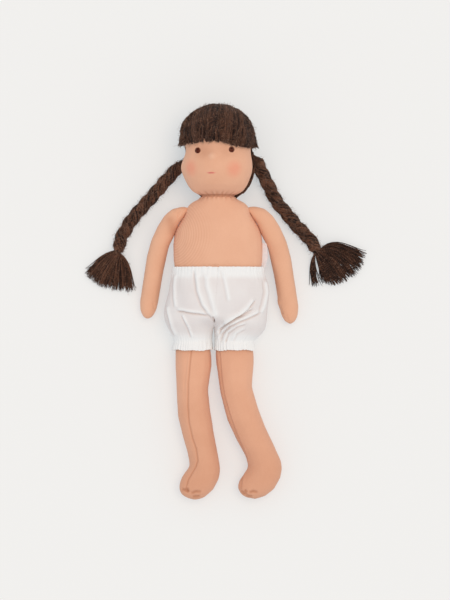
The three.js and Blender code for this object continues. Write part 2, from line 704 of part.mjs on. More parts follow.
// Gathers are a fine ripple all round, pressed low where the doll lies on them. Folds are broad
// waves over the front, which wander sideways from row to row.
const pressedShare = 0.2;
function clothRing(s, count, fold, ripple) {
  return ringPoints(s, count).map((p, i) => {
    const angle = (2 * Math.PI * i) / count;
    const front = Math.max(0, Math.sin(angle));
    const drift = (2 * Math.PI * s.y) / cloth.foldPeriod;
    const wave = fold * front * Math.cos(counts.folds * angle + drift) * cloth.foldHeight;
    const gather = cloth.gather * (Math.sin(angle) < 0 ? pressedShare : 1);
    const gathers = (ripple * gather * (i % 2 === 0 ? 1 : -1)) / 2;
    const out = new THREE.Vector3(Math.cos(angle), 0, Math.sin(angle));
    return p.addScaledVector(out, wave + gathers);
  });
}
function clothLoft(sections, folds, ripples, count, by) {
  const rings = sections.map((s, i) => clothRing(resized(s, by), count, folds[i], ripples[i]));
  const ends = [sections[0], sections[sections.length - 1]];
  return solidOf(stack([centreOf(ends[0]), ...rings, centreOf(ends[1])]));
}

// One cloth leg, from inside the hips to the ruffle below its cuff. Rows: share of the way from
// the hips' end to the cuff, then of the fullness at the front. The inner edges of both legs run
// down the centre seam and part at the crotch.
const clothLegShares = [
  [-1.1, 1.15],
  [-0.45, 0.95],
  [0, 0.66],
  [0.4, 0.42],
  [0.75, 0.2],
];
const clothRippleShares = [0, 0.2, 0.3, 0.5, 0.8, 1, 1, 1.6];
const cuffY = hipY - legShares[cuffRow][0] * leg.length;
const seamLean = Math.atan2(hip.middle, waistLine - cuffY);
const seamAt = (y) => (waistLine - y) * Math.tan(seamLean);

function clothLeg(side) {
  const [cuff, below] = cuffRows(legSections(side).outer).map((s) => resized(
    { ...s, x: s.x + hipOffset(side), y: s.y + hipY, z: s.z + hipHeight }, cuffStand));
  const rows = clothLegShares.map(([along, front], row) => {
    const y = THREE.MathUtils.lerp(crotchY, cuffY, along);
    const parting = Math.max(0, along);
    const out = cuff.hx + side.clothOutShares[row] * side.clothFullness;
    const outerEdge = cuff.x + side.sign * out;
    const seamEdge = seamAt(y) + side.sign * gap;
    const innerEdge = THREE.MathUtils.lerp(seamEdge, cuff.x - side.sign * cuff.hx, parting);
    const bottom = THREE.MathUtils.lerp(clothBack, cuff.z - cuff.down, parting);
    return section((outerEdge + innerEdge) / 2, y, cuff.z + cuff.up + front * cloth.frontFullness,
      bottom, Math.abs(outerEdge - innerEdge) / 2);
  });
  const flared = resized(below, cloth.gather);
  const ruffle = { ...flared, y: below.y - cloth.ruffle, down: below.down };
  return [...rows, cuff, below, ruffle];
}
const clothLegs = [clothLeg(sides.right), clothLeg(sides.left)];

// The cloth's outer surface, or with a negative offset its inner one, which runs on past the ends
function bloomersSolid(by, reach) {
  const hipRows = hipSections.map((s) => ({ ...s }));
  hipRows[0].y += reach;
  hipRows[hipRows.length - 1].y -= by;
  let whole = clothLoft(hipRows, hipFoldShares, hipRippleShares, counts.hips, by);
  for (const leg of clothLegs) {
    const rows = leg.map((s) => ({ ...s }));
    rows[0].y += by;
    rows[rows.length - 1].y -= reach;
    whole = whole.add(clothLoft(rows, clothFoldShares, clothRippleShares, counts.cuff, by));
  }
  return whole;
}
const clothShell = bloomersSolid(0, 0).subtract(bloomersSolid(-cloth.wall, overrun));
const clothReach = torso.width + leg.length;
function panel(from, to) {
  return geometryOf(clothShell.intersect(
    block(from, to, -clothReach, clothReach, -clothReach, clothReach,
      THREE.MathUtils.radToDeg(seamLean), waistLine)));
}
add(doll, 'bloomers_right', panel(-clothReach, -gap / 2), 'cotton');
add(doll, 'bloomers_left', panel(gap / 2, clothReach), 'cotton');

// Plaits: three strands that cross in turn, from a rounded root behind the cheek to a tie, where
// the loose ends fan out as a tassel on the table. A plait is gathered in at both ends.
const settleShare = 0.4; // of the way down, where the plait comes to lie on the table
const tightShare = 0.3; // of the swing, where the plait is gathered in
const openShare = 0.14; // of the course, where it is full
const closeShares = [0.88, 0.96]; // of the course, between which it is gathered to the tie
const plaitRest = plait.lift + plait.strandRadius + gap;
const bundle = tightShare * plait.swing + plait.tightRadius;

function rootPlace(side) {
  const row = headRows.findIndex((s) => s.y > side.plaitRootShare * head.height);
  const clear = 2 * gap + hair.thickness + hair.lock + plait.rootEase + plait.rootRadius;
  const ring = resized(headRows[row], clear);
  const angle = THREE.MathUtils.degToRad(plait.rootAngle);
  const local = new THREE.Vector3(
    side.sign * ring.hx * Math.cos(angle), side.plaitRootShare * head.height,
    headLevel - ring.down * Math.sin(angle));
  headGroup.updateMatrixWorld(true);
  return headGroup.localToWorld(local);
}
function plaitCourse(side, root) {
  const drop = plaitRest - root.z;
  const points = [[0, 0], ...side.plaitRouteShares, [1, 1]].map(([out, down]) => {
    const settled = Math.min(1, down / settleShare);
    return new THREE.Vector3(
      side.sign * out * side.plaitOut, -down * side.plaitDown,
      drop * Math.sin((settled * Math.PI) / 2));
  });
  return new THREE.CatmullRomCurve3(points, false, 'centripetal');
}
const up = new THREE.Vector3(0, 0, 1);
function courseFrame(course, t) {
  const point = course.getPointAt(t);
  const along = course.getTangentAt(t).setZ(0).normalize();
  const across = new THREE.Vector3().crossVectors(along, up);
  return { point, along, across };
}
function opennessAt(t) {
  const fromRoot = THREE.MathUtils.smoothstep(t, 0, openShare);
  const toTie = 1 - THREE.MathUtils.smoothstep(t, ...closeShares);
  return Math.min(fromRoot, toTie);
}

// One strand: it swings from side to side once in a period and dips twice, so that each strand
// passes over one neighbour and under the other
function strandGeometry(course, phase) {
  const length = course.getLength();
  const steps = Math.round((length / plait.period) * counts.strandStepsPerPeriod);
  const rings = [];
  for (let i = 0; i <= steps; i += 1) {
    const t = i / steps;
    const { point, along, across } = courseFrame(course, t);
    const turn = (2 * Math.PI * t * length) / plait.period + phase;
    const open = opennessAt(t);
    const width = THREE.MathUtils.lerp(tightShare, 1, open);
    const radius = THREE.MathUtils.lerp(plait.tightRadius, plait.strandRadius, open);
    const centre = point.clone()
      .addScaledVector(across, width * plait.swing * Math.sin(turn))
      .addScaledVector(up, width * plait.lift * Math.sin(2 * turn));
    const ring = [];
    for (let k = 0; k < counts.strandSides; k += 1) {
      const angle = (2 * Math.PI * k) / counts.strandSides;
      ring.push(centre.clone()
        .addScaledVector(across, radius * Math.cos(angle))
        .addScaledVector(up, radius * Math.sin(angle)));
    }
    if (i === 0) rings.push([centre.clone().addScaledVector(along, -gap)]);
    rings.push(ring);
    if (i === steps) rings.push([centre.clone()]);
  }
  return stack(rings);
}

// The fan of loose ends: rows spread out from the tie, and every other column is a lock that
// stands proud and reaches further. It swells just past the tie and thins to its ends and sides.
const spreadPower = 0.8;
const swellShare = 1 / 3; // of the way out, where the fan is fully swollen
const fanSideShare = 0.3; // of the thickness, at the fan's two sides
const furrowShare = 0.75; // of the thickness, between two locks
function tasselPoint(side, column, out) {
  const { start, end, startFlare, endFlare } = side.fanAngles;
  const share = column / counts.fanColumns;
  const inLock = column % 2 === 0;
  const flare = (1 - out) * THREE.MathUtils.lerp(-startFlare, endFlare, share);
  const angle = THREE.MathUtils.degToRad(THREE.MathUtils.lerp(start, end, share) + flare);
  const length = THREE.MathUtils.lerp(side.fanStartLength, side.fanEndLength, share)
    - (inLock ? 0 : tassel.lockCut);
  const swell = Math.min(1, out / swellShare);
  const middle = THREE.MathUtils.lerp(2 * bundle, tassel.thickness, swell);
  const full = THREE.MathUtils.lerp(middle, tassel.endThickness, out ** 2);
  const domed = THREE.MathUtils.lerp(fanSideShare, 1, Math.sin(Math.PI * share));
  const rise = (full / 2) * domed * (inLock ? 1 : furrowShare);
  const lying = THREE.MathUtils.lerp(tassel.thickness, tassel.endThickness, out ** 2) / 2;
  return {
    reach: new THREE.Vector3(Math.cos(angle), Math.sin(angle), 0).multiplyScalar(out * length),
    sideways: tassel.neckWidth * Math.cos(Math.PI * share) * (1 - out),
    level: THREE.MathUtils.lerp(plaitRest, lying + gap, swell),
    rise,
  };
}
function tasselGeometry(side, course) {
  const { point, along, across } = courseFrame(course, 1);
  const from = point.clone().addScaledVector(along, gap);
  const table = point.z - plaitRest;
  const top = [];
  const bottom = [];
  for (let row = 0; row <= counts.fanRows; row += 1) {
    const out = (row / counts.fanRows) ** spreadPower;
    const topRow = [];
    const bottomRow = [];
    for (let column = 0; column <= counts.fanColumns; column += 1) {
      const { reach, sideways, level, rise } = tasselPoint(side, column, out);
      const place = from.clone().add(reach).addScaledVector(across, sideways);
      topRow.push(place.clone().setZ(table + level + rise));
      bottomRow.push(place.clone().setZ(table + level - rise));
    }
    top.push(topRow);
    bottom.push(bottomRow);
  }
  return slab(top, bottom);
}

const tieRoundShare = 0.6; // of the tie's width, where it is thickest
function tieGeometry() {
  const inner = (bundle + gap) / Math.cos(Math.PI / counts.knot);
  const outer = inner + tie.thickness;
  const half = tie.width / 2;
  const round = half * tieRoundShare;
  return new THREE.LatheGeometry([
    new THREE.Vector2(inner, -half),
    new THREE.Vector2(outer, -round),
    new THREE.Vector2(outer, round),
    new THREE.Vector2(inner, half),
    new THREE.Vector2(inner, -half),
  ], counts.knot);
}
const strandsInPlait = 3;
function addPlait(side, name) {
  const root = rootPlace(side);
  const group = new THREE.Group();
  group.position.copy(root);
  doll.add(group);
  const course = plaitCourse(side, root);
  let braid = solidOf(
    new THREE.SphereGeometry(plait.rootRadius, counts.rootRound, counts.rootRings));
  for (let strand = 0; strand < strandsInPlait; strand += 1) {
    const phase = (2 * Math.PI * strand) / strandsInPlait;
    braid = braid.add(solidOf(strandGeometry(course, phase)));
  }
  add(group, `plait_${name}`, geometryOf(braid), 'yarn');
  const { point, along } = courseFrame(course, 1);
  const knot = add(group, `plait_tie_${name}`, tieGeometry(), 'tie');
  knot.position.copy(point).addScaledVector(along, -tie.width / 2);
  knot.quaternion.setFromUnitVectors(new THREE.Vector3(0, 1, 0), along);
  add(group, `tassel_${name}`, tasselGeometry(side, course), 'yarn');
}
addPlait(sides.right, 'right');
addPlait(sides.left, 'left');

export default doll;
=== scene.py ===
import math
import random

import bmesh
import bpy
import numpy as np
from mathutils import Matrix, Vector
from mathutils.bvhtree import BVHTree
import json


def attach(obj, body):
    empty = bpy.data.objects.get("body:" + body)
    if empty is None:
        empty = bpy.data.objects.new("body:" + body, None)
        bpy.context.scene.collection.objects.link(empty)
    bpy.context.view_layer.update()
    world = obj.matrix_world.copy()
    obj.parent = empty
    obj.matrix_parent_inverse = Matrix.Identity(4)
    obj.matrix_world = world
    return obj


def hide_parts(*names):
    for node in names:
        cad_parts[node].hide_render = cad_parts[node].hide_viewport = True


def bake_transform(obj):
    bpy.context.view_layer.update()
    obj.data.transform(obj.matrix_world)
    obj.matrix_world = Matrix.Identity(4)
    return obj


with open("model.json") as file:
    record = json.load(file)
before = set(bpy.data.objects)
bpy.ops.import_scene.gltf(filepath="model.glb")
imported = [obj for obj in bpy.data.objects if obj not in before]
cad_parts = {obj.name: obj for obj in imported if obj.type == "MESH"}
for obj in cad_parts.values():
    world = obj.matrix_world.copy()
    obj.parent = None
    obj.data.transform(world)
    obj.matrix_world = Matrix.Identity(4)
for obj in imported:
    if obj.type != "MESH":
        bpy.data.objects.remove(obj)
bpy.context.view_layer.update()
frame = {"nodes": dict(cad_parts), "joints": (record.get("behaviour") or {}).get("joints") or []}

bpy.ops.object.select_all(action="DESELECT")
mm = 0.001

# Table, light and camera: a plain pale table top under an even white sky and one broad lamp. The
# camera looks straight down from far away, as the photograph does, with the doll's head up.
photo_height = 600 * 0.95 * mm
camera_height, middle_height = 2520 * mm, 20 * mm
view_middle = (6.65 * mm, -47.5 * mm)
sensor_width, farthest_seen = 36, 50
table_width, table_glow = 8.0, 0.5
shadow_tint = (0.9, 1.0, 1.07)
sky_strength, sky_colour = 0.75, (0.93, 1, 1.07, 1)
lamp_strength, lamp_colour = 1.06, (1, 0.83, 0.66)
lamp_breadth, lamp_lean, lamp_tip = math.radians(40), math.radians(-8), math.radians(10)


def linear(red, green, blue):
    """A colour given as it shows on a screen, 0 to 255, as the amounts of light in it."""
    parts = [c / 255 for c in (red, green, blue)]
    return tuple(c / 12.92 if c < 0.04045 else ((c + 0.055) / 1.055) ** 2.4 for c in parts) + (1,)


def placed(name, data):
    """A new object in the scene, at the origin."""
    thing = bpy.data.objects.new(name, data)
    bpy.context.scene.collection.objects.link(thing)
    return thing


def sum_of(operation, swapped=False):
    """The method that joins a strand with other strands or numbers by one kind of sum."""
    def joined(strand, *others):
        values = (*others, strand) if swapped else (strand, *others)
        return strand.finish.add(
            "ShaderNodeMath", dict(enumerate(values)), {"operation": operation})
    return joined


class Strand:
    """One output of a finish's nodes, so that a pattern can be written as a sum."""

    def __init__(self, finish, socket):
        self.finish, self.socket = finish, socket

    __add__, __radd__ = sum_of("ADD"), sum_of("ADD", swapped=True)
    __sub__, __rsub__ = sum_of("SUBTRACT"), sum_of("SUBTRACT", swapped=True)
    __mul__, __rmul__ = sum_of("MULTIPLY"), sum_of("MULTIPLY", swapped=True)
    most, least = sum_of("MAXIMUM"), sum_of("MINIMUM")
    size, fraction, sine = sum_of("ABSOLUTE"), sum_of("FRACT"), sum_of("SINE")

    def held(self):
        """No less than 0 and no more than 1."""
        return self.most(0.0).least(1.0)

    def swing(self, period):
        """From -1 to 1 and back, once in each period."""
        return (self * (2 * math.pi / period)).sine()

    def wave(self, period):
        """From 0 to 1 and back, once in each period."""
        return self.swing(period) * 0.5 + 0.5

    def between(self, low, high):
        """0 below low, 1 above high, and a smooth step from one to the other."""
        return self.finish.add(
            "ShaderNodeMapRange", {"Value": self, "From Min": low, "From Max": high},
            {"interpolation_type": "SMOOTHSTEP"}, "Result")


class Finish:
    """The nodes being joined for one of the doll's stuffs, or for the sky."""

    def __init__(self, name, kinds=bpy.data.materials):
        self.owner = kinds.new(name)
        self.owner.use_nodes = True
        self.tree = self.owner.node_tree
        self.tree.nodes.clear()

    def add(self, kind, values, settings=(), output=0):
        """A node of a kind, with its settings first and then the values or strands it takes."""
        node = self.tree.nodes.new(kind)
        for key, value in dict(settings).items():
            setattr(node, key, value)
        for key, value in values.items():
            if isinstance(value, Strand):
                self.tree.links.new(value.socket, node.inputs[key])
            else:
                node.inputs[key].default_value = value
        return Strand(self, node.outputs[output]) if node.outputs else None

    def place(self):
        return self.add("ShaderNodeTexCoord", {}, output="Object")

    def attribute(self, name):
        return self.add("ShaderNodeAttribute", {}, {"attribute_name": name}, "Fac")

    def split(self, vector, axis):
        return self.add("ShaderNodeSeparateXYZ", {"Vector": vector}, output=axis)

    def distance(self, vector, point):
        """How far a place is from a point that is given in millimetres."""
        return self.add("ShaderNodeVectorMath", {0: vector, 1: [v * mm for v in point]},
                        {"operation": "DISTANCE"}, "Value")

    def cloud(self, vector, scale, detail):
        return self.add("ShaderNodeTexNoise", {"Vector": vector, "Scale": scale, "Detail": detail})

    def blend(self, share, first, second):
        """Mixes two colours. The Mix node takes them at its sockets 6 and 7."""
        return self.add(
            "ShaderNodeMix", {0: share, 6: first, 7: second}, {"data_type": "RGBA"}, output=2)

    def cover(self, colour, height=None, relief=0.0, *, roughness, sheen=0.0, specular=0.25,
              glow=(0, 0, 0, 1), glow_strength=0.0):
        """Ends the material: a matt cloth with its relief and the soft bloom of its fibres."""
        values = {"Base Color": colour, "Roughness": roughness, "Specular IOR Level": specular,
                  "Emission Color": glow, "Emission Strength": glow_strength}
        if height is not None:
            values["Normal"] = self.add("ShaderNodeBump", {"Height": height, "Distance": relief})
        if sheen:
            values.update({"Sheen Weight": sheen, "Sheen Roughness": 0.6})
        shader = self.add("ShaderNodeBsdfPrincipled", values)
        self.add("ShaderNodeOutputMaterial", {"Surface": shader})
        return self.owner


bpy.ops.mesh.primitive_plane_add(size=table_width)
table = bpy.context.object
table.name = "table_top"
# Painted light: the table top itself glows with half of its brightness, tinted bluish, so that the
# shadows on it come out lighter and cooler.
paper_colour = linear(240, 239, 237)
paper_glow = [c * tint for c, tint in zip(paper_colour, shadow_tint)]
paper_base = [c - table_glow * glow for c, glow in zip(paper_colour, paper_glow)]
table.data.materials.append(Finish("pale_paper").cover(
    (*paper_base, 1), roughness=1.0, specular=0.0, glow=(*paper_glow, 1), glow_strength=table_glow))

studio = Finish("studio", bpy.data.worlds)
bpy.context.scene.world = studio.owner
seen = studio.add("ShaderNodeLightPath", {}, output="Is Camera Ray")
sky = studio.add("ShaderNodeBackground", {"Color": sky_colour, "Strength": sky_strength})
backdrop = studio.add("ShaderNodeBackground", {"Color": paper_colour, "Strength": 1.0})
studio.add("ShaderNodeOutputWorld", {
    "Surface": studio.add("ShaderNodeMixShader", {0: seen, 1: sky, 2: backdrop})})

lamp = placed("broad_lamp", bpy.data.lights.new("broad_lamp", "SUN"))
lamp.data.energy, lamp.data.color, lamp.data.angle = lamp_strength, lamp_colour, lamp_breadth
lamp.rotation_euler = (lamp_lean, lamp_tip, 0)

camera = placed("camera", bpy.data.cameras.new("camera"))
camera.data.sensor_width = sensor_width
camera.data.lens = sensor_width * (camera_height - middle_height) / photo_height
camera.data.clip_end = farthest_seen
camera.location = (*view_middle, camera_height)
bpy.context.scene.camera = camera
bpy.context.scene.view_settings.view_transform = "Standard"

# Torso: a bag of fine cotton jersey, packed hard with wool and closed round the neck. The rows of
# the knit run down the belly. It was cut in one piece and sewn up the back.
jersey_grain = 1.4 * mm
swelling, lying_gap = 0.5 * mm, 0.05 * mm
weld_distance = 0.001 * mm
stitch_width, stitch_height, knit_slices = 1.15 * mm, 0.9 * mm, 39
jersey_relief = 0.12 * mm
neck_height, neck_radius = 31 * mm, 16 * mm
skin_peach, skin_shade = linear(238, 184, 152), linear(222, 163, 132)
gather_shade = linear(176, 116, 86)


def modified(piece, kind, **settings):
    """Works one modifier into a piece for good, and leaves the piece selected."""
    bpy.ops.object.select_all(action="DESELECT")
    piece.select_set(True)
    bpy.context.view_layer.objects.active = piece
    modifier = piece.modifiers.new(kind.lower(), kind)
    for key, value in settings.items():
        setattr(modifier, key, value)
    bpy.ops.object.modifier_apply(modifier=modifier.name)


def stuffed(name, nodes, grain, plump, rubs=9):
    """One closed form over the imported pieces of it. They are swelled until they meet, closed into
    one and rubbed smooth."""
    sewn = bmesh.new()
    for node in nodes:
        sewn.from_mesh(frame["nodes"][node].data)
    bmesh.ops.remove_doubles(sewn, verts=sewn.verts, dist=weld_distance)
    sewn.normal_update()
    for corner in sewn.verts:
        corner.co += corner.normal * swelling
    mesh = bpy.data.meshes.new(name)
    sewn.to_mesh(mesh)
    sewn.free()
    form = placed(name, mesh)
    modified(form, "REMESH", mode="VOXEL", voxel_size=grain)
    modified(form, "SMOOTH", factor=0.5, iterations=rubs)
    modified(form, "DISPLACE", mid_level=0, strength=plump - swelling)
    modified(form, "SUBSURF", levels=1, render_levels=1)
    form.data.materials.clear()
    bpy.ops.object.shade_smooth()
    places = points_of(form)
    places[:, 2] = np.maximum(places[:, 2], lying_gap)
    put_points(form, places)
    return form


def points_of(form, kind="co"):
    """The places of a form's points, or their normals."""
    values = np.zeros(len(form.data.vertices) * 3)
    form.data.vertices.foreach_get(kind, values)
    return values.reshape(-1, 3)


def put_points(form, places):
    form.data.vertices.foreach_set("co", np.asarray(places, float).ravel())
    form.data.update()


def note(form, name, values, domain="POINT"):
    attribute = form.data.attributes.new(name, "FLOAT", domain)
    attribute.data.foreach_set("value", np.asarray(values, np.float32))


def bell(distance, width):
    """1 at no distance, fading out over the width."""
    return np.exp(-((distance / width) ** 2))


def knit(form, around, tilt=0.0):
    """Notes where each point lies in the knit: which column round the form, and which row."""
    places = points_of(form)
    along = places[:, 1] + tilt * places[:, 0]
    stops = np.linspace(along.min(), along.max(), knit_slices + 1)
    which = np.clip(np.digitize(along, stops) - 1, 0, knit_slices - 1)
    known = np.unique(which)
    middles = np.array([
        (places[which == i].min(0) + places[which == i].max(0)) / 2 for i in known])
    centres = ((stops[:-1] + stops[1:]) / 2)[known]
    x = places[:, 0] - np.interp(along, centres, middles[:, 0])
    z = places[:, 2] - np.interp(along, centres, middles[:, 2])
    turns = np.arctan2(x, z) / (2 * math.pi)
    faces = form.data.polygons
    corners = np.zeros(len(form.data.loops), int)
    first, size = (np.zeros(len(faces), int) for _ in range(2))
    form.data.loops.foreach_get("vertex_index", corners)
    faces.foreach_get("loop_start", first)
    faces.foreach_get("loop_total", size)
    # A face on the line where a full turn ends takes all its corners from the same side
    at_corners = turns[corners]
    at_corners += np.round(np.repeat(at_corners[first], size) - at_corners)
    note(form, "wale", at_corners * round(around / stitch_width), "CORNER")
    note(form, "course", along / stitch_height)


def along_route(places, route):
    """For each point, seen from above: how far it lies from a route, to which side, and how far
    along the route, from 0 to 1."""
    flat = places[:, :2]
    route = np.array(route) * mm
    steps = np.linalg.norm(np.diff(route, axis=0), axis=1)
    total, done = steps.sum(), 0.0
    best = np.full(len(flat), np.inf)
    side, share = np.zeros(len(flat)), np.zeros(len(flat))
    for start, end, step in zip(route[:-1], route[1:], steps):
        way = (end - start) / step
        run = np.clip((flat - start) @ way, 0, step)
        off = flat - (start + run[:, None] * way)
        far = np.linalg.norm(off, axis=1)
        near = far < best
        best[near] = far[near]
        side[near] = np.sign(way[0] * off[near, 1] - way[1] * off[near, 0])
        share[near] = (done + run[near]) / total
        done += step
    return best, side, share


def crease(form, route, width, depth, lip=0.0, ends=0.12, under=False):
    """Presses a soft line into a form, along a route seen from above. A lip lifts the cloth on the
    left of the line."""
    places, ways = points_of(form), points_of(form, "normal")
    far, side, share = along_route(places, route)
    across = far / (width * mm)
    fade = np.minimum(1, np.minimum(share, 1 - share) / ends + 0.001)
    facing = np.clip((-1 if under else 1) * ways[:, 2] * 3 + 0.5, 0, 1)
    shift = lip * bell(across - 2, 1) * (side > 0) - depth * bell(across, 1)
    put_points(form, places + ways * (shift * mm * fade * facing)[:, None])


def nearness(form, place, width):
    """How near each point of a form lies to a place: 1 at it, fading out over the width."""
    return bell(np.linalg.norm(points_of(form) - np.array(place) * mm, axis=1), width * mm)


def bump(form, place, width, height):
    """Raises or sinks a round spot of a form."""
    rise = height * mm * nearness(form, place, width)[:, None]
    put_points(form, points_of(form) + points_of(form, "normal") * rise)


def pull(form, place, width, shift):
    """Draws the cloth round one place of a form in some direction."""
    near = nearness(form, place, width)[:, None]
    put_points(form, points_of(form) + near * np.array(shift) * mm)


def pucker(form, at, reach, count, depth, ring_at, seed):
    """Small gathers round the neck, strongest at one height, and the line of the thread that draws
    them in. It gives back painted shade for the hollows of the gathers and for a dark line along the
    thread, where head and torso meet."""
    chance = np.random.default_rng(seed)
    places, ways = points_of(form), points_of(form, "normal")
    across, rise = places[:, 0], places[:, 2] - neck_height
    turn = np.arctan2(across, rise)
    wave = np.sin(count * turn + 1.3 * np.sin(3 * turn + chance.uniform(0, 6)))
    wave = wave + 0.5 * np.sin(1.7 * count * turn + 2)
    near = bell(places[:, 1] - at * mm, reach * mm)
    near = near * bell(np.hypot(across, rise) - neck_radius, 6 * mm)
    put_points(form, places + ways * (depth * mm * wave * near)[:, None])
    ring = bell(points_of(form)[:, 1] - ring_at * mm, 0.8 * mm)
    return near * np.clip(0.5 - 0.5 * wave, 0, 1), 1.1 * ring


def knitted(cloth, mottle_scale, rib_shade, vee_shade, base):
    """Columns of small vees: how deep the colour lies, with painted shade between the columns
    and low in each vee, and their relief.
    """
    wale, course, place = cloth.attribute("wale"), cloth.attribute("course"), cloth.place()
    column = (wale.fraction() - 0.5).size()
    rib = 1 - column * column * 4
    vee = (course + column).wave(1)
    mottle, fuzz = cloth.cloud(place, mottle_scale, 3), cloth.cloud(place, 900, 2)
    depth = (1 - rib) * rib_shade + (1 - vee) * vee_shade + mottle * 0.55 + fuzz * 0.25 - base
    return depth, rib * 0.6 + vee * 0.3 + fuzz * 0.4


def peachy(cloth, depth, peach, shade):
    """The colour of a skin: deeper in the knit, and darker where painted shade is noted on it."""
    painted_shade = cloth.attribute("painted_shade")
    colour = cloth.blend((depth + painted_shade).held(), peach, shade)
    return cloth.blend((painted_shade * 0.8).least(1.0), colour, gather_shade)


def jersey(name, peach, shade, arcs=None):
    """Fine knitted jersey. The arcs are the broad faint rings that stretched ribs show on the
    belly."""
    cloth = Finish(name)
    depth, height = knitted(cloth, 55, 0.22, 0.1, 0.22)
    if arcs:
        far = cloth.distance(cloth.place(), arcs["centre"])
        within = 1 - far.between(arcs["inner"], arcs["outer"])
        depth = depth + far.wave(arcs["spacing"]) * within * arcs["strength"]
    return cloth.cover(peachy(cloth, depth, peach, shade), height, jersey_relief, roughness=0.92,
                       sheen=0.12, specular=0.15)


def dress(piece, stuff, slot, body, *nodes):
    """Gives a piece its material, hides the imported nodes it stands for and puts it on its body."""
    piece.data.materials.append(stuff)
    if nodes:
        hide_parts(*nodes)
    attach(piece, body)


torso = stuffed("torso", ["torso_skin", "torso_filling"], jersey_grain, 0.35 * mm)
knit(torso, 220 * mm)
back_seam = [(0, 46), (0, 20), (0, -10), (0, -40), (0, -66)]
crease(torso, back_seam, 0.8, 0.5, under=True)
navel = [(-6, -14.6), (-2.5, -16), (1, -14.6)]
crease(torso, navel, 1.2, 0.5)
for sign in (-1, 1):
    pull(torso, (sign * 26, 44, 30), 8, (sign * 1.8, 1.0, 0))
    pull(torso, (sign * 37, 13, 25), 13, (sign * 0.8, 0, 0))
gathered, ring = pucker(torso, 49.6, 2.2, 19, 0.32, 50.6, seed=3)
# Painted shade in the hollows of the neck gathers and along the seam line where the head meets the
# torso.
note(torso, "painted_shade", 0.35 * gathered + ring)
belly_arcs = dict(centre=(-42, 13, 33), spacing=2.5 * mm, inner=25 * mm, outer=47 * mm,
                  strength=0.46)
dress(torso, jersey("torso_jersey", skin_peach, skin_shade, belly_arcs), "skin_jersey", "torso",
      "torso_skin", "torso_filling")

# Head: a ball of wool tied in at the eye line and at the neck, under a jersey skin that is drawn
# smooth over the face and gathered by hand at the neck. The cheeks are rubbed with wax crayon.
joint_places = {joint["name"]: Vector(joint["pos_m"]) for joint in frame["joints"]}
head_turn = Matrix.Rotation(math.radians(-6), 4, "Y")
head_place = Matrix.Translation(joint_places["neck_turn"]) @ head_turn
face_peach, face_shade = linear(236, 181, 149), linear(219, 160, 128)
blush_colour, nose_light = linear(236, 150, 122), linear(246, 204, 174)
blush_places = [(-26.0, 76.0, 57), (14.8, 75.0, 62.5)]
nose = (-5.3, 86.5, 67)
# Soft shade beside the nose: place and strength
nose_shades = [((-13, 90, 62), 0.3), ((7, 91, 64), 0.16)]

head = stuffed("head", ["head_skin", "head_core"], jersey_grain, 0.3 * mm)
knit(head, 200 * mm)
bump(head, nose, 2.8, 1.4)
for eye_hollow in ((-12.4, 92, 64), (6.5, 92.5, 66)):
    bump(head, eye_hollow, 7, -0.5)
pull(head, (-32, 93, 36), 9, (1.6, 0, 0))
pull(head, (-33, 77, 36), 9, (-1.3, 0, 0))
for sign in (-1, 1):
    pull(head, (sign * 19, 57, 40), 8, (sign * 1.6, -1.0, 0))
gathered, ring = pucker(head, 53.4, 2.4, 22, 0.38, 51.3, seed=4)
# Painted shade beside the nose, in the hollows of the neck gathers and along the seam line at the
# neck.
shaded = sum(strength * nearness(head, place, 7.5) for place, strength in nose_shades)
note(head, "painted_shade", 0.4 * gathered + ring + shaded)


def face_jersey():
    """The same jersey, with crayon on the cheeks and a painted highlight on the tip of the nose."""
    skin = Finish("face_jersey")
    depth, height = knitted(skin, 70, 0.18, 0.12, 0.2)
    colour = peachy(skin, depth, face_peach, face_shade)
    place = skin.place()
    patchy = skin.cloud(place, 240, 3) * 0.5 + 0.45
    for cheek in blush_places:
        near = 1 - skin.distance(place, cheek).between(1.0 * mm, 11.5 * mm)
        colour = skin.blend((near * patchy).least(0.62), colour, blush_colour)
    tip = 1 - skin.distance(place, nose).between(0.5 * mm, 4.5 * mm)
    colour = skin.blend(tip * 0.4, colour, nose_light)
    return skin.cover(colour, height, jersey_relief, roughness=0.92, sheen=0.12, specular=0.15)


dress(head, face_jersey(), "face_jersey", "head", "head_skin", "head_core")

# Eyes and mouth: satin stitches side by side in embroidery thread, drawn through the face. Every
# stitch, as every strand of yarn later, is a tube round its own route, with its own tone.
skull = BVHTree.FromObject(head, bpy.context.evaluated_depsgraph_get())
above_doll = 0.2
eye_centres = {"eye_right": (-12.4 * mm - 6.4 * mm, 92.3 * mm), "eye_left": (12.9 * mm, 93.0 * mm)}
eye_radius, eye_thread = 2.7 * mm, 0.65 * mm
eye_layers = [(0, 0.5 * mm), (1, 0.95 * mm)]
mouth_centre, mouth_half = (-6.0 * mm, 71.2 * mm), 4.7 * mm
mouth_thread, mouth_lift = 0.5 * mm, 0.35 * mm
mouth_rows = [(-0.42 * mm, 0.62), (0.0, 1.0), (0.42 * mm, 0.6)]
stitch_steps, stitch_sink = 7, 0.15 * mm


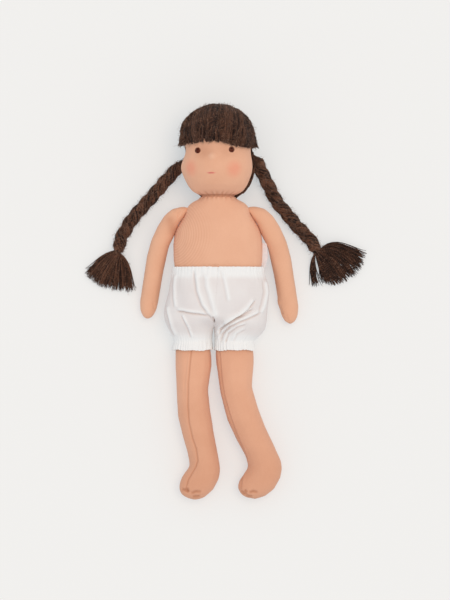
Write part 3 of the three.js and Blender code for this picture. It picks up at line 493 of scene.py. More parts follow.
def spin(name, routes, thickness, *, seed, sides=4, tones=None, taper=0.35):
    """Makes one piece of many strands. The last stretch of each strand thins to its cut end."""
    chance = random.Random(seed)
    corners, faces, tone, run = [], [], [], []
    for number, route in enumerate(routes):
        shade = tones[number] if tones else chance.random()
        thick = thickness * chance.uniform(0.85, 1.15)
        first, length, side = len(corners), 0.0, None
        for i, point in enumerate(route):
            way = (route[min(i + 1, len(route) - 1)] - route[max(i - 1, 0)]).normalized()
            if side is None:
                side = way.orthogonal().normalized()
            side = (side - way * side.dot(way)).normalized()
            rise = way.cross(side)
            if i:
                length += (point - route[i - 1]).length
            share = i / (len(route) - 1)
            girth = thick / 2 * (1 - (1 - taper) * max(0.0, (share - 0.8) / 0.2))
            for k in range(sides):
                angle = 2 * math.pi * k / sides
                corners.append(point + girth * (math.cos(angle) * side + math.sin(angle) * rise))
                tone.append(shade)
                run.append(length)
        for i in range(len(route) - 1):
            for k in range(sides):
                a, b = first + i * sides + k, first + i * sides + (k + 1) % sides
                faces.append((a, b, b + sides, a + sides))
        faces.append(tuple(first + k for k in reversed(range(sides))))
        last = first + (len(route) - 1) * sides
        faces.append(tuple(last + k for k in range(sides)))
    mesh = bpy.data.meshes.new(name)
    mesh.from_pydata(corners, [], faces)
    mesh.validate()
    mesh.shade_smooth()
    piece = placed(name, mesh)
    note(piece, "tone", tone)
    note(piece, "run", run)
    return piece


def shares(count):
    """Even steps from 0 to 1."""
    return [i / (count - 1) for i in range(count)]


def stitch(start, end, lift):
    """One satin stitch, seen from above: it comes out of the cloth, lies over it and goes back."""
    route = []
    for share in shares(stitch_steps):
        x = start[0] + (end[0] - start[0]) * share
        y = start[1] + (end[1] - start[1]) * share
        place, way, _, _ = skull.ray_cast(Vector((x, y, above_doll)), Vector((0, 0, -1)))
        route.append(place + way * (lift * math.sin(math.pi * share) - stitch_sink))
    return route


def embroidery(name, dark, light):
    thread = Finish(name)
    place, tone = thread.place(), thread.attribute("tone")
    fuzz = thread.cloud(place, 2500, 2)
    colour = thread.blend((tone * 0.6 + fuzz * 0.5 - 0.05).held(), dark, light)
    return thread.cover(colour, fuzz, 0.1 * mm, roughness=0.7, sheen=0.03, specular=0.15)


eye_brown = embroidery("eye_thread", linear(50, 12, 4), linear(118, 50, 32))
for name, (cx, cy) in eye_centres.items():
    routes = []
    for layer, lift in eye_layers:
        radius, rows = eye_radius * (1 - 0.2 * layer), 9 - 2 * layer
        for i in range(rows):
            y = radius * (2 * (i + 0.5) / rows - 1)
            half = math.sqrt(radius ** 2 - y ** 2)
            routes.append(stitch((cx - half, cy + y), (cx + half, cy + y), lift))
    eye = spin(name + "_stitches", routes, eye_thread, taper=0.8, seed=5)
    dress(eye, eye_brown, "eye_thread", "head", name)

mouth_red = embroidery("mouth_thread", linear(226, 118, 112), linear(240, 158, 146))
routes = []
for height, width in mouth_rows:
    (x, y), half = mouth_centre, mouth_half * width
    routes.append(stitch((x - half, y + height), (x + half, y + height), mouth_lift))
mouth = spin("mouth_stitches", routes, mouth_thread, taper=0.5, seed=3)
dress(mouth, mouth_red, "mouth_thread", "head", "mouth")

# Arms: jersey tubes filled with wool that thins towards the shoulder, where each is flattened and
# sewn to the torso by hand. A few stitches draw in the hands.
arm_peach, arm_shade = linear(236, 181, 148), linear(218, 158, 126)
# Creases seen from above, in millimetres: route, width and depth. At the left arm the thumb and
# two gathers of the hand, at the right one a dimple and two folds of the shoulder.
arm_creases = {
    "right": [([(-61.4, -49), (-61.0, -54.2), (-60.2, -58.5)], 1.1, 0.5),
              ([(-33.5, 37.2), (-36.2, 33.6), (-38.2, 30.5)], 0.8, 0.7),
              ([(-35.6, 38.2), (-38.6, 34.6)], 0.8, 0.7)],
    "left": [([(57.5, -51.5), (59.5, -56.5), (62.0, -61.5)], 1.0, 0.7),
             ([(60.5, -58.9), (63.6, -65.0)], 0.8, 0.45),
             ([(64.6, -60.7), (67.3, -68.5)], 0.8, 0.45)],
}
left_thumb = (57.2, -50.5, 10)
# Painted shade, as routes seen from above: along the join of each arm with the torso, down the inner
# side of each arm, and on the right shoulder beside the armpit.
arm_join = [(27.7, 36.9), (35.1, 24.1), (41.4, 10.5), (43, 4)]
inner_sides = {"right": [(-38, 20), (-45, 3), (-51, -17), (-55, -39), (-57, -56)],
               "left": [(39.5, 19), (48.5, -9), (54, -25.5), (59, -49)]}
right_shoulder_shade = [(-45, 27.5), (-43, 19)]
# The doll's right lies at -X
both_sides = {"right": -1, "left": 1}


def shade_line(form, route, width):
    """How near each point lies to a route seen from above. It fades towards both ends."""
    far, _, share = along_route(points_of(form), route)
    return bell(far, width * mm) * np.sin(math.pi * share) ** 0.5


for side, sign in both_sides.items():
    arm = stuffed(f"arm_{side}", [f"arm_skin_{side}", f"arm_filling_{side}"], 1.3 * mm, 0.35 * mm)
    knit(arm, 56 * mm, tilt=-0.2 * sign)
    pull(arm, (sign * 33.5, 37, 29), 6, (-sign * 5.0, 0.6, 1.0))
    pull(arm, (sign * 41, 14, 24), 11, (-sign * 1.5, 0, 0))
    if side == "left":
        bump(arm, left_thumb, 4.5, 0.9)
    for route, width, depth in arm_creases[side]:
        crease(arm, route, width, depth)
    # Painted shade along the join with the torso, down the inner side and, on the right arm, at the
    # shoulder.
    far, _, share = along_route(points_of(arm), [(sign * x, y) for x, y in arm_join])
    painted_shade = 0.7 * bell(far, 1.5 * mm) * (1 - share ** 3)
    painted_shade += 0.4 * shade_line(arm, inner_sides[side], 3.0)
    if side == "right":
        far, _, _ = along_route(points_of(arm), right_shoulder_shade)
        painted_shade += 0.35 * bell(far, 4.5 * mm)
    note(arm, "painted_shade", painted_shade)
    dress(arm, jersey(f"arm_jersey_{side}", arm_peach, arm_shade), "skin_jersey", f"arm_{side}",
          f"arm_skin_{side}", f"arm_filling_{side}")

# Legs: long jersey tubes with a seam down the front, packed hard, bent at the ankle and gathered
# at the toes. The flat ends at the hips are sewn into the torso's lower edge.
leg_peach, leg_shade = linear(235, 178, 146), linear(215, 154, 122)
front_seams = {
    "right": [(-25, -90), (-25.2, -95.8), (-26.8, -111.3), (-28.1, -126.7), (-28.5, -147.3),
              (-27.5, -162.8), (-24.2, -178.2), (-20.6, -188.5), (-19.1, -199.8), (-21.1, -206),
              (-28.3, -218.4), (-30.4, -226.6)],
    "left": [(1.5, -90), (1.6, -97.9), (3.4, -121.6), (5.7, -137), (10.8, -155.5), (17, -173),
             (27.3, -196.7), (25.2, -209), (22.6, -218.4), (22.0, -227.6)],
}
seam_depth = {"right": 0.7, "left": 0.45}
beside_seam = 3.6
toe_gathers = {
    "right": [[(-34.5, -227.1), (-31.5, -227.6), (-28.3, -229.4)],
              [(-29.4, -225.4), (-27.9, -230.2)],
              [(-25.7, -230.9), (-21, -229.0), (-15.8, -229.4)],
              [(-24.4, -234.2), (-17, -233.6)]],
    "left": [[(21.8, -228.2), (24.6, -230.9), (27.6, -231.8)],
             [(29.2, -230.2), (33.4, -228.8), (37.8, -229.9)],
             [(26.3, -233.1), (32.5, -233.9)], [(25.2, -227.6), (27.4, -229.8)]],
}
# Where each leg's outline is eased outwards: place, width and shift, in millimetres
leg_eases = {
    "right": [((-6.5, -108, 15), 18, (1.4, 0, 0)), ((-19, -233, 14), 12, (0.4, -1.7, 0)),
              ((-8, -160, 14), 18, (0.9, 0, 0))],
    "left": [((1, -98, 15), 10, (-0.9, 0, 0)), ((32, -103, 15), 17, (1.7, 0, 0)),
             ((21, -222, 13), 10, (-2.3, -0.3, 0)), ((58, -206, 14), 13, (1.7, 0.3, 0)),
             ((28, -201, 15), 8, (-1.2, 2.2, 0))],
}
legs = {}
for side in both_sides:
    nodes = [f"leg_skin_{side}", f"leg_filling_{side}"]
    leg = legs[side] = stuffed(f"leg_{side}", nodes, 1.5 * mm, 0.4 * mm)
    knit(leg, 96 * mm)
    for place, width, shift in leg_eases[side]:
        pull(leg, place, width, shift)
    seam, depth = front_seams[side], seam_depth[side]
    crease(leg, seam, 0.7, depth, lip=0.3, ends=0.04)
    crease(leg, [(x - beside_seam, y) for x, y in seam[:5]], 0.7, 0.35, ends=0.3)
    gathered = np.zeros(len(leg.data.vertices))
    for route in toe_gathers[side]:
        crease(leg, route, 1.1, 1.0)
        gathered += 0.55 * shade_line(leg, route, 1.2)
    # Painted shade in the front seam and in the toe gathers, on the sides that face up; the legs are
    # also made darker towards the feet.
    far, _, _ = along_route(points_of(leg), seam)
    facing = np.clip(points_of(leg, "normal")[:, 2] * 2, 0, 1)
    lower_leg = np.clip((-points_of(leg)[:, 1] - 110 * mm) / (105 * mm), 0, 1)
    shaded = 0.55 * depth * bell(far, 0.6 * mm) + gathered
    note(leg, "painted_shade", shaded * facing + 0.19 * lower_leg)
    dress(leg, jersey(f"leg_jersey_{side}", leg_peach, leg_shade), "skin_jersey", f"leg_{side}",
          *nodes)

# Bloomers: two panels of thin white cotton, sewn together down the middle and drawn in by an
# elastic at the waist and at each cuff, with a ruffle below. Each panel is one sheet. Its rows go
# half round the hips and, below the crotch, all the way round the leg. Lengths in millimetres.
waist_y, cuff_y, hem_y = -16.2, -87.3, -95.2
crotch_high, crotch_low, legs_part = -59.0, -77.0, -72
cloth_rows, cloth_columns = 118, 280
cloth_bottom, cloth_thickness = 0.4, 0.4 * mm
sharp_edge = math.radians(55)
panel_width, panel_length = 150 * mm, 88 * mm
seam_lean, seam_gap = 0.066, 0.02
cuff_inner = {"right": -5.9, "left": -2.9}
waist_pleats, cuff_pleats, pleat_height = 30, 46, 1.7
cotton_thread = 0.5 * mm
# The panels' outer edges and their tops, by height
outer_edges = {
    "right": [(-16.2, 43.4), (-25.8, 44.4), (-31.4, 45.3), (-39.9, 46.6), (-48.4, 49.1),
              (-57.4, 51.3), (-62, 51.3), (-67, 50.7), (-72.7, 48.1), (-77.8, 45.5),
              (-82.2, 43.4), (-86, 42.3), (-89, 42.3), (-95.2, 43.6)],
    "left": [(-16.2, 43.6), (-25.8, 44.9), (-31.4, 47.5), (-39.9, 48.7), (-48.4, 47.8),
             (-57.4, 46.8), (-67, 46.2), (-72.7, 45.6), (-77.8, 43.1), (-82.2, 38.9),
             (-86, 33.8), (-89, 33.8), (-95.2, 35.2)],
}
cloth_tops = [(-16.2, 51.6), (-25.8, 52.3), (-31.4, 53.6), (-39.9, 54.3), (-48.4, 53.6),
              (-57.4, 50.9), (-65.9, 46.4), (-72.7, 41.5), (-77.8, 37.1), (-82.2, 34.5),
              (-86, 32.6), (-89, 32.4), (-95.2, 33.4)]
# Folds over the front, as routes seen from above: how wide, how high and how deep beside the ridge
folds = [
    ([(-21.5, -18), (-20.9, -26), (-19.3, -39.1), (-14.7, -52.2), (-9.3, -59.4), (-2, -67)],
     1.9, 1.5, 0.8),
    ([(-12.3, -20), (-11, -35), (-8.4, -42.8), (-4.6, -57.8), (-1.5, -66)], 2.4, 1.2, 0.3),
    ([(3.4, -18), (4.8, -25), (7.5, -38), (9.5, -50)], 1.8, 1.1, 0.3),
    ([(-40, -57.0), (-33, -57.4), (-26.2, -58.6), (-16, -60.2), (-8, -61.6)], 1.5, 1.3, 1.5),
    ([(-34.5, -60.5), (-28, -73.6), (-24.4, -84)], 1.3, 1.0, 0.7),
    ([(-48.5, -52), (-47.7, -60), (-43.8, -73), (-39.5, -82)], 1.6, 1.2, 0.7),
    ([(4.5, -70.5), (11, -66.2), (20.4, -61.8), (28, -55), (35.5, -46)], 1.7, 2.0, 1.6),
    ([(0.2, -82), (2, -74), (8.5, -68.8), (16, -64.5), (24, -60.6), (34, -54)], 1.4, 1.6, 1.5),
    ([(0.6, -89), (3.4, -79), (11, -71.4), (26.6, -64.9), (42.4, -57.3)], 1.5, 1.6, 1.2),
    ([(5.6, -89), (9.2, -78.5), (17.5, -72.4), (27, -69.8)], 1.3, 1.1, 0.8),
    ([(13.5, -87), (17.5, -79), (26, -74.5)], 1.3, 0.8, 0.5),
    ([(43.5, -28), (45.0, -40), (42.5, -52), (38.8, -62)], 1.6, 1.2, 0.8),
    ([(-40.8, -22), (-42.2, -34), (-42.0, -45), (-40.5, -56)], 1.6, 1.1, 0.5),
    ([(-3.5, -62), (-1.8, -69)], 1.6, 0.0, 1.6),
]


def by_height(edge, heights):
    """Reads an edge's values by height, with its corners rounded off."""
    rows = sorted(edge)
    steps = [np.interp(heights + shift, [r[0] for r in rows], [r[1] for r in rows])
             for shift in (-3, -1.5, 0, 1.5, 3)]
    return sum(steps) / len(steps)


def smoothstep(low, high, values):
    share = np.clip((values - low) / (high - low), 0, 1)
    return share * share * (3 - 2 * share)


def gathers(around, down, count, seed, longest):
    """Narrow pleats that start at the elastic: each has its own width, height and length."""
    chance = np.random.default_rng(seed)
    edges = np.cumsum(np.concatenate([[0], chance.uniform(0.45, 1.6, count)]))
    phase = np.interp(around * edges[-1], edges, np.arange(count + 1))
    which = np.minimum(phase.astype(int), count - 1)
    height = chance.uniform(0.35, 1.0, count)[which]
    length = (chance.uniform(0.35, 1.0, count) * longest)[which]
    ridge = np.sqrt(np.abs(np.sin(math.pi * (phase - which)))) - 0.55
    pleats = ridge * height * np.clip(1 - down / length, 0, 1) ** 1.5
    for _ in range(2):
        pleats[:, 1:-1] = (pleats[:, :-2] + 2 * pleats[:, 1:-1] + pleats[:, 2:]) / 4
    return pleats


def drawn_in(places, form, height, reach, gap, hold):
    """Draws the cloth in to a form where an elastic holds it: at what height, how far along the
    cloth, how close the cloth comes and how firmly it is held."""
    surface = BVHTree.FromObject(form, bpy.context.evaluated_depsgraph_get())
    firm = hold * bell(places[..., 1] - height, reach)
    for index in zip(*np.nonzero(firm > 0.02)):
        near, way, _, _ = surface.find_nearest(Vector(places[index]) * mm)
        goal = np.array(near + way * (gap * mm)) / mm
        places[index] += firm[index] * (goal - places[index])


def woven(name, places, thickness, offset, outward=1, **marks):
    """One sheet over a grid of places in millimetres, with its marks noted at each of them. Its
    thickness lies behind the grid, with offset -1, or half to each side, with offset 0."""
    rows, columns = places.shape[:2]
    first = np.arange(rows * columns).reshape(rows, columns)[:-1, :-1].ravel()
    quads = np.stack([first, first + columns, first + columns + 1, first + 1], axis=1)
    mesh = bpy.data.meshes.new(name)
    mesh.from_pydata((places.reshape(-1, 3) * mm).tolist(), [], quads[:, ::outward].tolist())
    sheet = placed(name, mesh)
    for mark, values in marks.items():
        note(sheet, mark, values.ravel())
    modified(sheet, "SOLIDIFY", thickness=thickness, offset=offset)
    bpy.ops.object.shade_smooth_by_angle(angle=sharp_edge)
    return sheet


def panel(side, sign):
    """One side of the bloomers: a gathered sheet round half of the hips and round one leg."""
    heights = np.linspace(waist_y, hem_y, cloth_rows)
    y, v = np.meshgrid(heights, np.linspace(0, 1, cloth_columns), indexing="ij")
    down = waist_y - y
    ring = 1 - smoothstep(crotch_low, crotch_high, y)
    part = np.clip((legs_part - y) / 12, 0, 1)
    outer = sign * by_height(outer_edges[side], heights)[:, None]
    seam_side = sign * seam_gap - down * seam_lean
    inner = seam_side + (cuff_inner[side] - seam_side) * part
    top = by_height(cloth_tops, heights)[:, None]
    middle = (top + cloth_bottom) / 2
    half = (outer - inner) / (1 + np.sin(ring * math.pi / 2))
    angle = (math.pi / 2) * (1 + ring) * (1 - 2 * v)
    across, rise = np.cos(angle), np.sin(angle)
    flat = np.sign(rise) * np.abs(rise) ** np.where(rise < 0, 0.75, 1.0)
    z = middle + flat * np.where(rise > 0, top - middle, middle - cloth_bottom)
    places = np.stack([outer - half + half * across, y, z], axis=-1)
    out = np.cross(np.gradient(places, axis=0), np.gradient(places, axis=1)) * sign
    out /= np.linalg.norm(out, axis=-1, keepdims=True)
    above = np.clip(out[..., 2] * 2.2, 0, 1)
    loose = 1 - 0.75 * smoothstep(0.1, 0.5, -out[..., 2])

    drawn_in(places, legs[side], cuff_y, 2.6, 2.5, 0.85)
    drawn_in(places, torso, waist_y, 1.3, 1.3, 0.7)
    lift, ridges, dips = (np.zeros_like(y) for _ in range(3))
    for route, width, high, deep in folds:
        far, which, share = (values.reshape(y.shape) for values in along_route(
            places.reshape(-1, 3) * mm, route))
        across_fold = far * which / (width * mm)
        fade = smoothstep(0, 0.12, np.minimum(share, 1 - share)) * above
        ridge = bell(across_fold - 0.7, 1) * fade
        dip = bell(across_fold + 0.85, 0.55) * fade
        lift += high * ridge - deep * dip
        ridges += ridge * min(1, high)
        dips += dip * min(1, deep)
    x = places[..., 0]
    billows = 0.35 * np.sin(x * 0.33 + y * 0.06 + 1.2) + 0.3 * np.sin(x * 0.17 - y * 0.11)
    lift += billows * smoothstep(2, 20, down) * smoothstep(6, 18, y - hem_y) * above
    pleats = gathers(v, down, waist_pleats, 5 + sign, 26)
    ruffles = gathers(v, np.maximum(y - cuff_y, 0), cuff_pleats, 8 + sign, 19)
    lift += pleat_height * pleats * loose
    lift += pleat_height * ruffles * loose * (1 + 0.8 * smoothstep(0, 7, cuff_y - y))
    lift -= 0.4 * bell(y - waist_y + 5, 2.5)
    lift -= 0.2 * bell(np.minimum(v, 1 - v) * panel_width / mm, 1.0) * (1 - ring)
    places += out * lift[..., None]
    hem = ruffles + 0.6 * np.sin(v * 31 + sign) * np.sin(v * 12)
    places[..., 1] += 1.1 * hem * np.clip((cuff_y - y) / 8, 0, 1)
    places[..., 1] += 0.35 * gathers(v, down, waist_pleats, 5 + sign, 6)
    places[..., 2] = np.maximum(places[..., 2], cloth_bottom)

    band = np.maximum(1 - smoothstep(7, 13, down), 1 - smoothstep(5, 14, y + 90))
    # The shaded mark is painted shade in the dips beside the folds.
    return woven(
        f"bloomers_{side}_panel", places, cloth_thickness, -1, sign, weft=v * panel_width,
        warp=down * mm, sheer=np.clip(1 - band - 0.9 * ridges, 0, 1), shaded=np.clip(dips, 0, 1))


def cotton():
    """Thin plain weave: greyer where one layer lets the skin show, and warmer with painted shade
    in the dips beside the folds.
    """
    cloth = Finish("white_cotton")
    weft, warp, place = cloth.attribute("weft"), cloth.attribute("warp"), cloth.place()
    weave = weft.swing(cotton_thread) * warp.swing(cotton_thread)
    cloudy, fibre = cloth.cloud(place, 45, 3), cloth.cloud(place, 1800, 2)
    thin = (cloth.attribute("sheer") * (cloudy * 0.9 + 0.45)).least(1.0)
    colour = cloth.blend(thin, linear(239, 237, 235), linear(229, 221, 218))
    colour = cloth.blend(cloth.attribute("shaded") * 0.7, colour, linear(214, 197, 190))
    return cloth.cover(colour, weave * 0.25 + fibre * 0.5, 0.06 * mm, roughness=0.85, sheen=0.05,
                       specular=0.2)


white_cotton = cotton()
for side, sign in both_sides.items():
    cloth = panel(side, sign)
    cloth.data.materials.append(white_cotton)
    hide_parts(f"bloomers_{side}")
    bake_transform(cloth)

# Hair: two-ply wool yarn, laid on the head strand by strand over a first layer of the same yarn.
# The fringe comes over the crown and is cut straight above the eyes.
hair_thread, fibre_thickness, yarn_twist = 0.7 * mm, 0.17 * mm, 1.9 * mm
fringe_locks, strands_per_lock, fringe_layers = 120, 9, 4
fringe_spread, fringe_steps = math.radians(106), 20
fibre_steps, table_gap = 4, 0.4 * mm
head_middle = head_place @ Vector((0, 43 * mm, 0))
outside_head = 0.1
# Where the fringe is cut, seen from above
fringe_cut = [(-36, 100.5), (-31, 99.2), (-28.9, 99.1), (-20.5, 99.9), (-4.6, 100.7), (5, 99.6),
              (11.3, 97.9), (18, 96.6), (26.3, 95.8), (33, 97), (37, 100)]


def yarn(name, dark, light, sheen):
    """Matt two-ply yarn: each strand has its tone, with the slant of its plies and fuzz on it."""
    fibre = Finish(name)
    tone, run, place = fibre.attribute("tone"), fibre.attribute("run"), fibre.place()
    ply, fuzz = run.wave(yarn_twist), fibre.cloud(place, 1500, 2)
    patch = fibre.cloud(place, 120, 2)
    fleck = fibre.cloud(place, 620, 2).between(0.54, 0.68)
    # The plies are darker in the grooves between them: painted shade.
    share = tone * 0.75 + ply * 0.2 + fuzz * 0.3 + patch * 0.5 + fleck * 0.3 - 0.56
    return fibre.cover(fibre.blend(share.held(), dark, light), ply * 0.5 + fuzz, 0.25 * mm,
                       roughness=0.95, sheen=sheen, specular=0.1)


hair_yarn = yarn("hair_yarn", linear(32, 17, 11), linear(134, 90, 68), sheen=0.08)
hair_fuzz = yarn("hair_fuzz", linear(74, 48, 36), linear(168, 128, 104), sheen=0.15)


def halo(name, strands, count, length, seed, body):
    """Fine loose fibres that stand off a piece of yarn and lie across it."""
    chance = random.Random(seed)
    places, ways = points_of(strands), points_of(strands, "normal")
    routes, tones = [], []
    for _ in range(count):
        which = chance.randrange(len(places))
        place, out = Vector(places[which]), Vector(ways[which])
        aside = Matrix.Rotation(chance.uniform(0, 6.3), 3, out) @ out.orthogonal().normalized()
        curl, rise = chance.gauss(0, 0.8), chance.uniform(0, 0.3) ** 1.5
        reach = length * chance.uniform(0.5, 1.4)
        route = [place]
        for step in range(fibre_steps):
            way = Matrix.Rotation(curl * step, 3, out) @ aside + out * (rise - 0.12 * step)
            point = route[-1] + way * (reach / fibre_steps)
            point.z = max(point.z, table_gap)
            route.append(point)
        routes.append(route)
        tones.append(chance.uniform(0.5, 1.25))
    fibres = spin(name, routes, fibre_thickness, sides=3, tones=tones, seed=seed)
    dress(fibres, hair_fuzz, "hair_yarn", body)


def local_way(polar, azimuth):
    """A way out from the head's middle: polar from the crown, azimuth from the face to the
    doll's left."""
    level = math.sin(polar)
    way = Vector((level * math.sin(azimuth), math.cos(polar), level * math.cos(azimuth)))
    return head_place.to_3x3() @ way


def on_head(way, lift):
    """The place on the head's skin that lies out along a way, lifted off the cloth."""
    way = way.normalized()
    place, normal, _, _ = skull.ray_cast(head_middle + way * outside_head, -way)
    return place + normal * lift


def fringe_edge(x):
    across, edge = zip(*fringe_cut)
    return float(np.interp(x / mm, across, edge)) * mm


def kept_in(value):
    """No less than 0 and no more than 1."""
    return min(1.0, max(0.0, value))


chance = random.Random(11)
routes, tones = [], []
for lock in range(fringe_locks):
    layer = lock % fringe_layers
    lock_spread = 2 * (lock + 0.5) / fringe_locks - 1 + chance.gauss(0, 0.01)
    lock_phase, lock_wobble = chance.uniform(0, 6.3), chance.uniform(0.3, 1.0)
    lock_tone, lock_length = chance.gauss(0.45, 0.13), chance.gauss(0, 0.009)
    for _ in range(strands_per_lock):
        spread = lock_spread + chance.gauss(0, 0.013)
        azimuth = spread * fringe_spread
        start_way = head_place.to_3x3() @ Vector((
            0.3 * spread + chance.gauss(0, 0.05) + 0.03, 1, -0.26 + chance.gauss(0, 0.07)))
        polar = math.radians(78)
        for _ in range(4):
            tip = on_head(local_way(polar, azimuth), (1.0 + 0.6 * layer) * mm)
            polar += (tip.y - fringe_edge(tip.x)) / (36 * mm)
        polar += lock_length + chance.gauss(0, 0.01) + 0.012 * (layer - 1.5)
        end_way = local_way(polar, azimuth)
        start_way.normalize()
        phase, wobble = chance.uniform(0, 6.3), chance.uniform(0.3, 1.0)
        waves = chance.uniform(18, 34)
        edge_curl = kept_in((abs(spread) - 0.7) / 0.2) * chance.choice((0.1, 0.3, 0.6, 1.2, 2.1))
        loose = chance.uniform(0, 0.8)
        route = []
        for share in shares(fringe_steps):
            lift = 0.5 + loose + (0.35 + 0.3 * min(1.0, share * 2)) * layer
            lift += 0.4 * wobble * math.sin(phase + share * waves)
            lift += 0.6 * lock_wobble * math.sin(lock_phase + share * 13)
            lift += edge_curl * 2.6 * (max(0.0, share - 0.6) / 0.4) ** 1.6
            point = on_head(start_way.slerp(end_way, share), lift * mm)
            point.x += 0.95 * mm * lock_wobble * math.sin(lock_phase * 2 + share * 10)
            point.x += 0.6 * mm * wobble * math.sin(phase * 2 + share * waves)
            route.append(point)
        routes.append(route)
        tones.append(kept_in(lock_tone + chance.gauss(0, 0.18)))
fringe = spin("fringe_strands", routes, hair_thread, sides=3, tones=tones, taper=0.6, seed=21)
dress(fringe, hair_yarn, "hair_yarn", "head")
halo("fringe_fibres", fringe, 5000, 4.2 * mm, 22, "head")


def under_hair(name, node, cut=None):
    """The first layer of yarn, close to the head: the laid strands lie on it."""
    layer = stuffed(name, [node], 1.6 * mm, -0.9 * mm, rubs=6)
    if cut:
        bpy.ops.object.mode_set(mode="EDIT")
        bpy.ops.mesh.select_all(action="SELECT")
        bpy.ops.mesh.bisect(plane_co=cut, plane_no=(0.06, 1, 0), use_fill=True, clear_inner=True)
        bpy.ops.object.mode_set(mode="OBJECT")
    note(layer, "tone", np.full(len(layer.data.vertices), 0.2))
    note(layer, "run", np.linalg.norm(points_of(layer)[:, [0, 2]], axis=1))
    dress(layer, hair_yarn, "hair_yarn", "head", node)


under_hair("fringe_first_layer", "hair_fringe", cut=(-4 * mm, 102.8 * mm, 0))

# Back hair: strands sewn down along a parting and combed to each side, where they gather into
# the root of a plait. Turns and slopes are in degrees, counted from the face and the crown.
back_strands, back_layers, back_steps = 540, 3, 12
parting_turn, nape = 178, 160
hairlines = {"right": 90, "left": 96}
nape_lines = {"right": 112, "left": 92}
above_table = 0.7 * mm
chance = random.Random(12)
for side, sign in both_sides.items():
    root = joint_places[f"plait_swing_{side}"]
    root_way = (root - head_middle).normalized()
    nape_line = nape_lines[side]
    routes = []
    for number in range(back_strands):
        share = (number + 0.5) / back_strands
        if share < 0.42:
            polar, turn = (nape + 1) * (1 - share / 0.42), parting_turn
        elif share < 0.6:
            polar, turn = 60 * (share - 0.42) / 0.18, hairlines[side]
        elif share < 0.8:
            polar, turn = 92 + 68 * (share - 0.6) / 0.2, nape_line + chance.gauss(0, 1.5)
        else:
            polar = nape + chance.gauss(0, 2)
            turn = parting_turn - (parting_turn - nape_line) * (share - 0.8) / 0.2
        start_way = local_way(math.radians(polar), sign * math.radians(turn))
        phase = chance.uniform(0, 6.3)
        gather = Vector([chance.gauss(0, 1.6) for _ in range(3)]) * mm
        route = []
        for t in shares(back_steps):
            lift = 0.9 + 0.8 * (number % back_layers) + 0.3 * math.sin(phase + t * 12) + 1.2 * t * t
            point = on_head(start_way.slerp(root_way, min(1.0, t * 0.98)), lift * mm)
            point = point.lerp(root + gather, max(0.0, (t - 0.8) / 0.2) ** 2)
            point.z = max(point.z, above_table)
            route.append(point)
        routes.append(route)
    back = spin(f"back_hair_{side}_strands", routes, hair_thread, seed=31)
    dress(back, hair_yarn, "hair_yarn", "head")
    under_hair(f"back_hair_{side}_first_layer", f"hair_back_{side}")

# Plaits: three bunches of yarn that cross in turn down to a tie of the same yarn, and below it
# the loose ends spread out on the table in a fan.
plait_routes = {
    "right": [(-35.8, 81.1, 10.6), (-49.9, 66.1, 7.6), (-64.8, 49.1, 6.4), (-80.3, 31.9, 6.2),
              (-87.7, 20.5, 6.2), (-93.5, 9.1, 6.2), (-94.4, -0.9, 6.2)],
    "left": [(38.3, 84.6, 18.4), (41.1, 75.5, 13.5), (48.0, 62.2, 8.6), (55.7, 47.1, 6.4),
             (64.2, 36.6, 6.2), (74.8, 23.7, 6.2), (86.7, 11.4, 6.2), (95.3, -0.9, 6.2)],
}
plait_steps, plait_period, plait_twist = 96, 39 * mm, 26 * mm
plait_swing, plait_lift = 2.4 * mm, 2.5 * mm
bunch_radius, bunch_threads, bunch_layer = 3.8 * mm, 18, 0.35 * mm
plait_thread, tie_thread = 0.95 * mm, 1.0 * mm
tie_radius, tie_height = {"right": 3.6 * mm, "left": 4.2 * mm}, 3.4 * mm
tie_turns, tie_steps, tie_start, tie_length = 4.2, 60, -1.8 * mm, 2.2 * mm
tassel_steps, yarn_floor = 11, 0.6 * mm
lightest_end = {"right": 0.75, "left": 0.45}
up = Vector((0, 0, 1))
# Each fan of loose ends: how many, from which way to which, how far, and how they bow outwards
fans = {
    "right": [dict(strands=420, first=210.5, last=288, flare=(48, 50),
                   reach=(39, 38.3, 37.8, 36.8, 37.5, 40.5))],
    "left": [dict(strands=380, first=281, last=356, flare=(4, 54),
                  reach=(29.5, 35.5, 39, 41.5, 44, 46.5)),
             dict(strands=34, first=259, last=271, flare=(30, -10), reach=(33, 34)),
             dict(strands=6, first=354, last=357, flare=(-55, 59), reach=(45, 46.5))],
}


def smooth_route(points, steps):
    """Even steps along one smooth curve through the points, and the curve's length."""
    points = [Vector(p) * mm for p in points]
    longer = [2 * points[0] - points[1], *points, 2 * points[-1] - points[-2]]
    fine = []
    for a, b, c, d in zip(longer, longer[1:], longer[2:], longer[3:]):
        for k in range(12):
            t = k / 12
            fine.append(0.5 * ((2 * b) + (c - a) * t + (2 * a - 5 * b + 4 * c - d) * t * t
                               + (3 * b - a - 3 * c + d) * t ** 3))
    fine.append(points[-1])
    lengths = np.concatenate([[0], np.cumsum([(q - p).length for p, q in zip(fine, fine[1:])])])
    return [
        Vector([float(np.interp(s, lengths, [p[axis] for p in fine])) for axis in range(3)])
        for s in np.linspace(0, lengths[-1], steps)
    ], float(lengths[-1])


def level_way(start, end):
    """The way from one place to the next along the table, and the way across it."""
    way = (end - start).normalized()
    way.z = 0
    way.normalize()
    return way, way.cross(up)


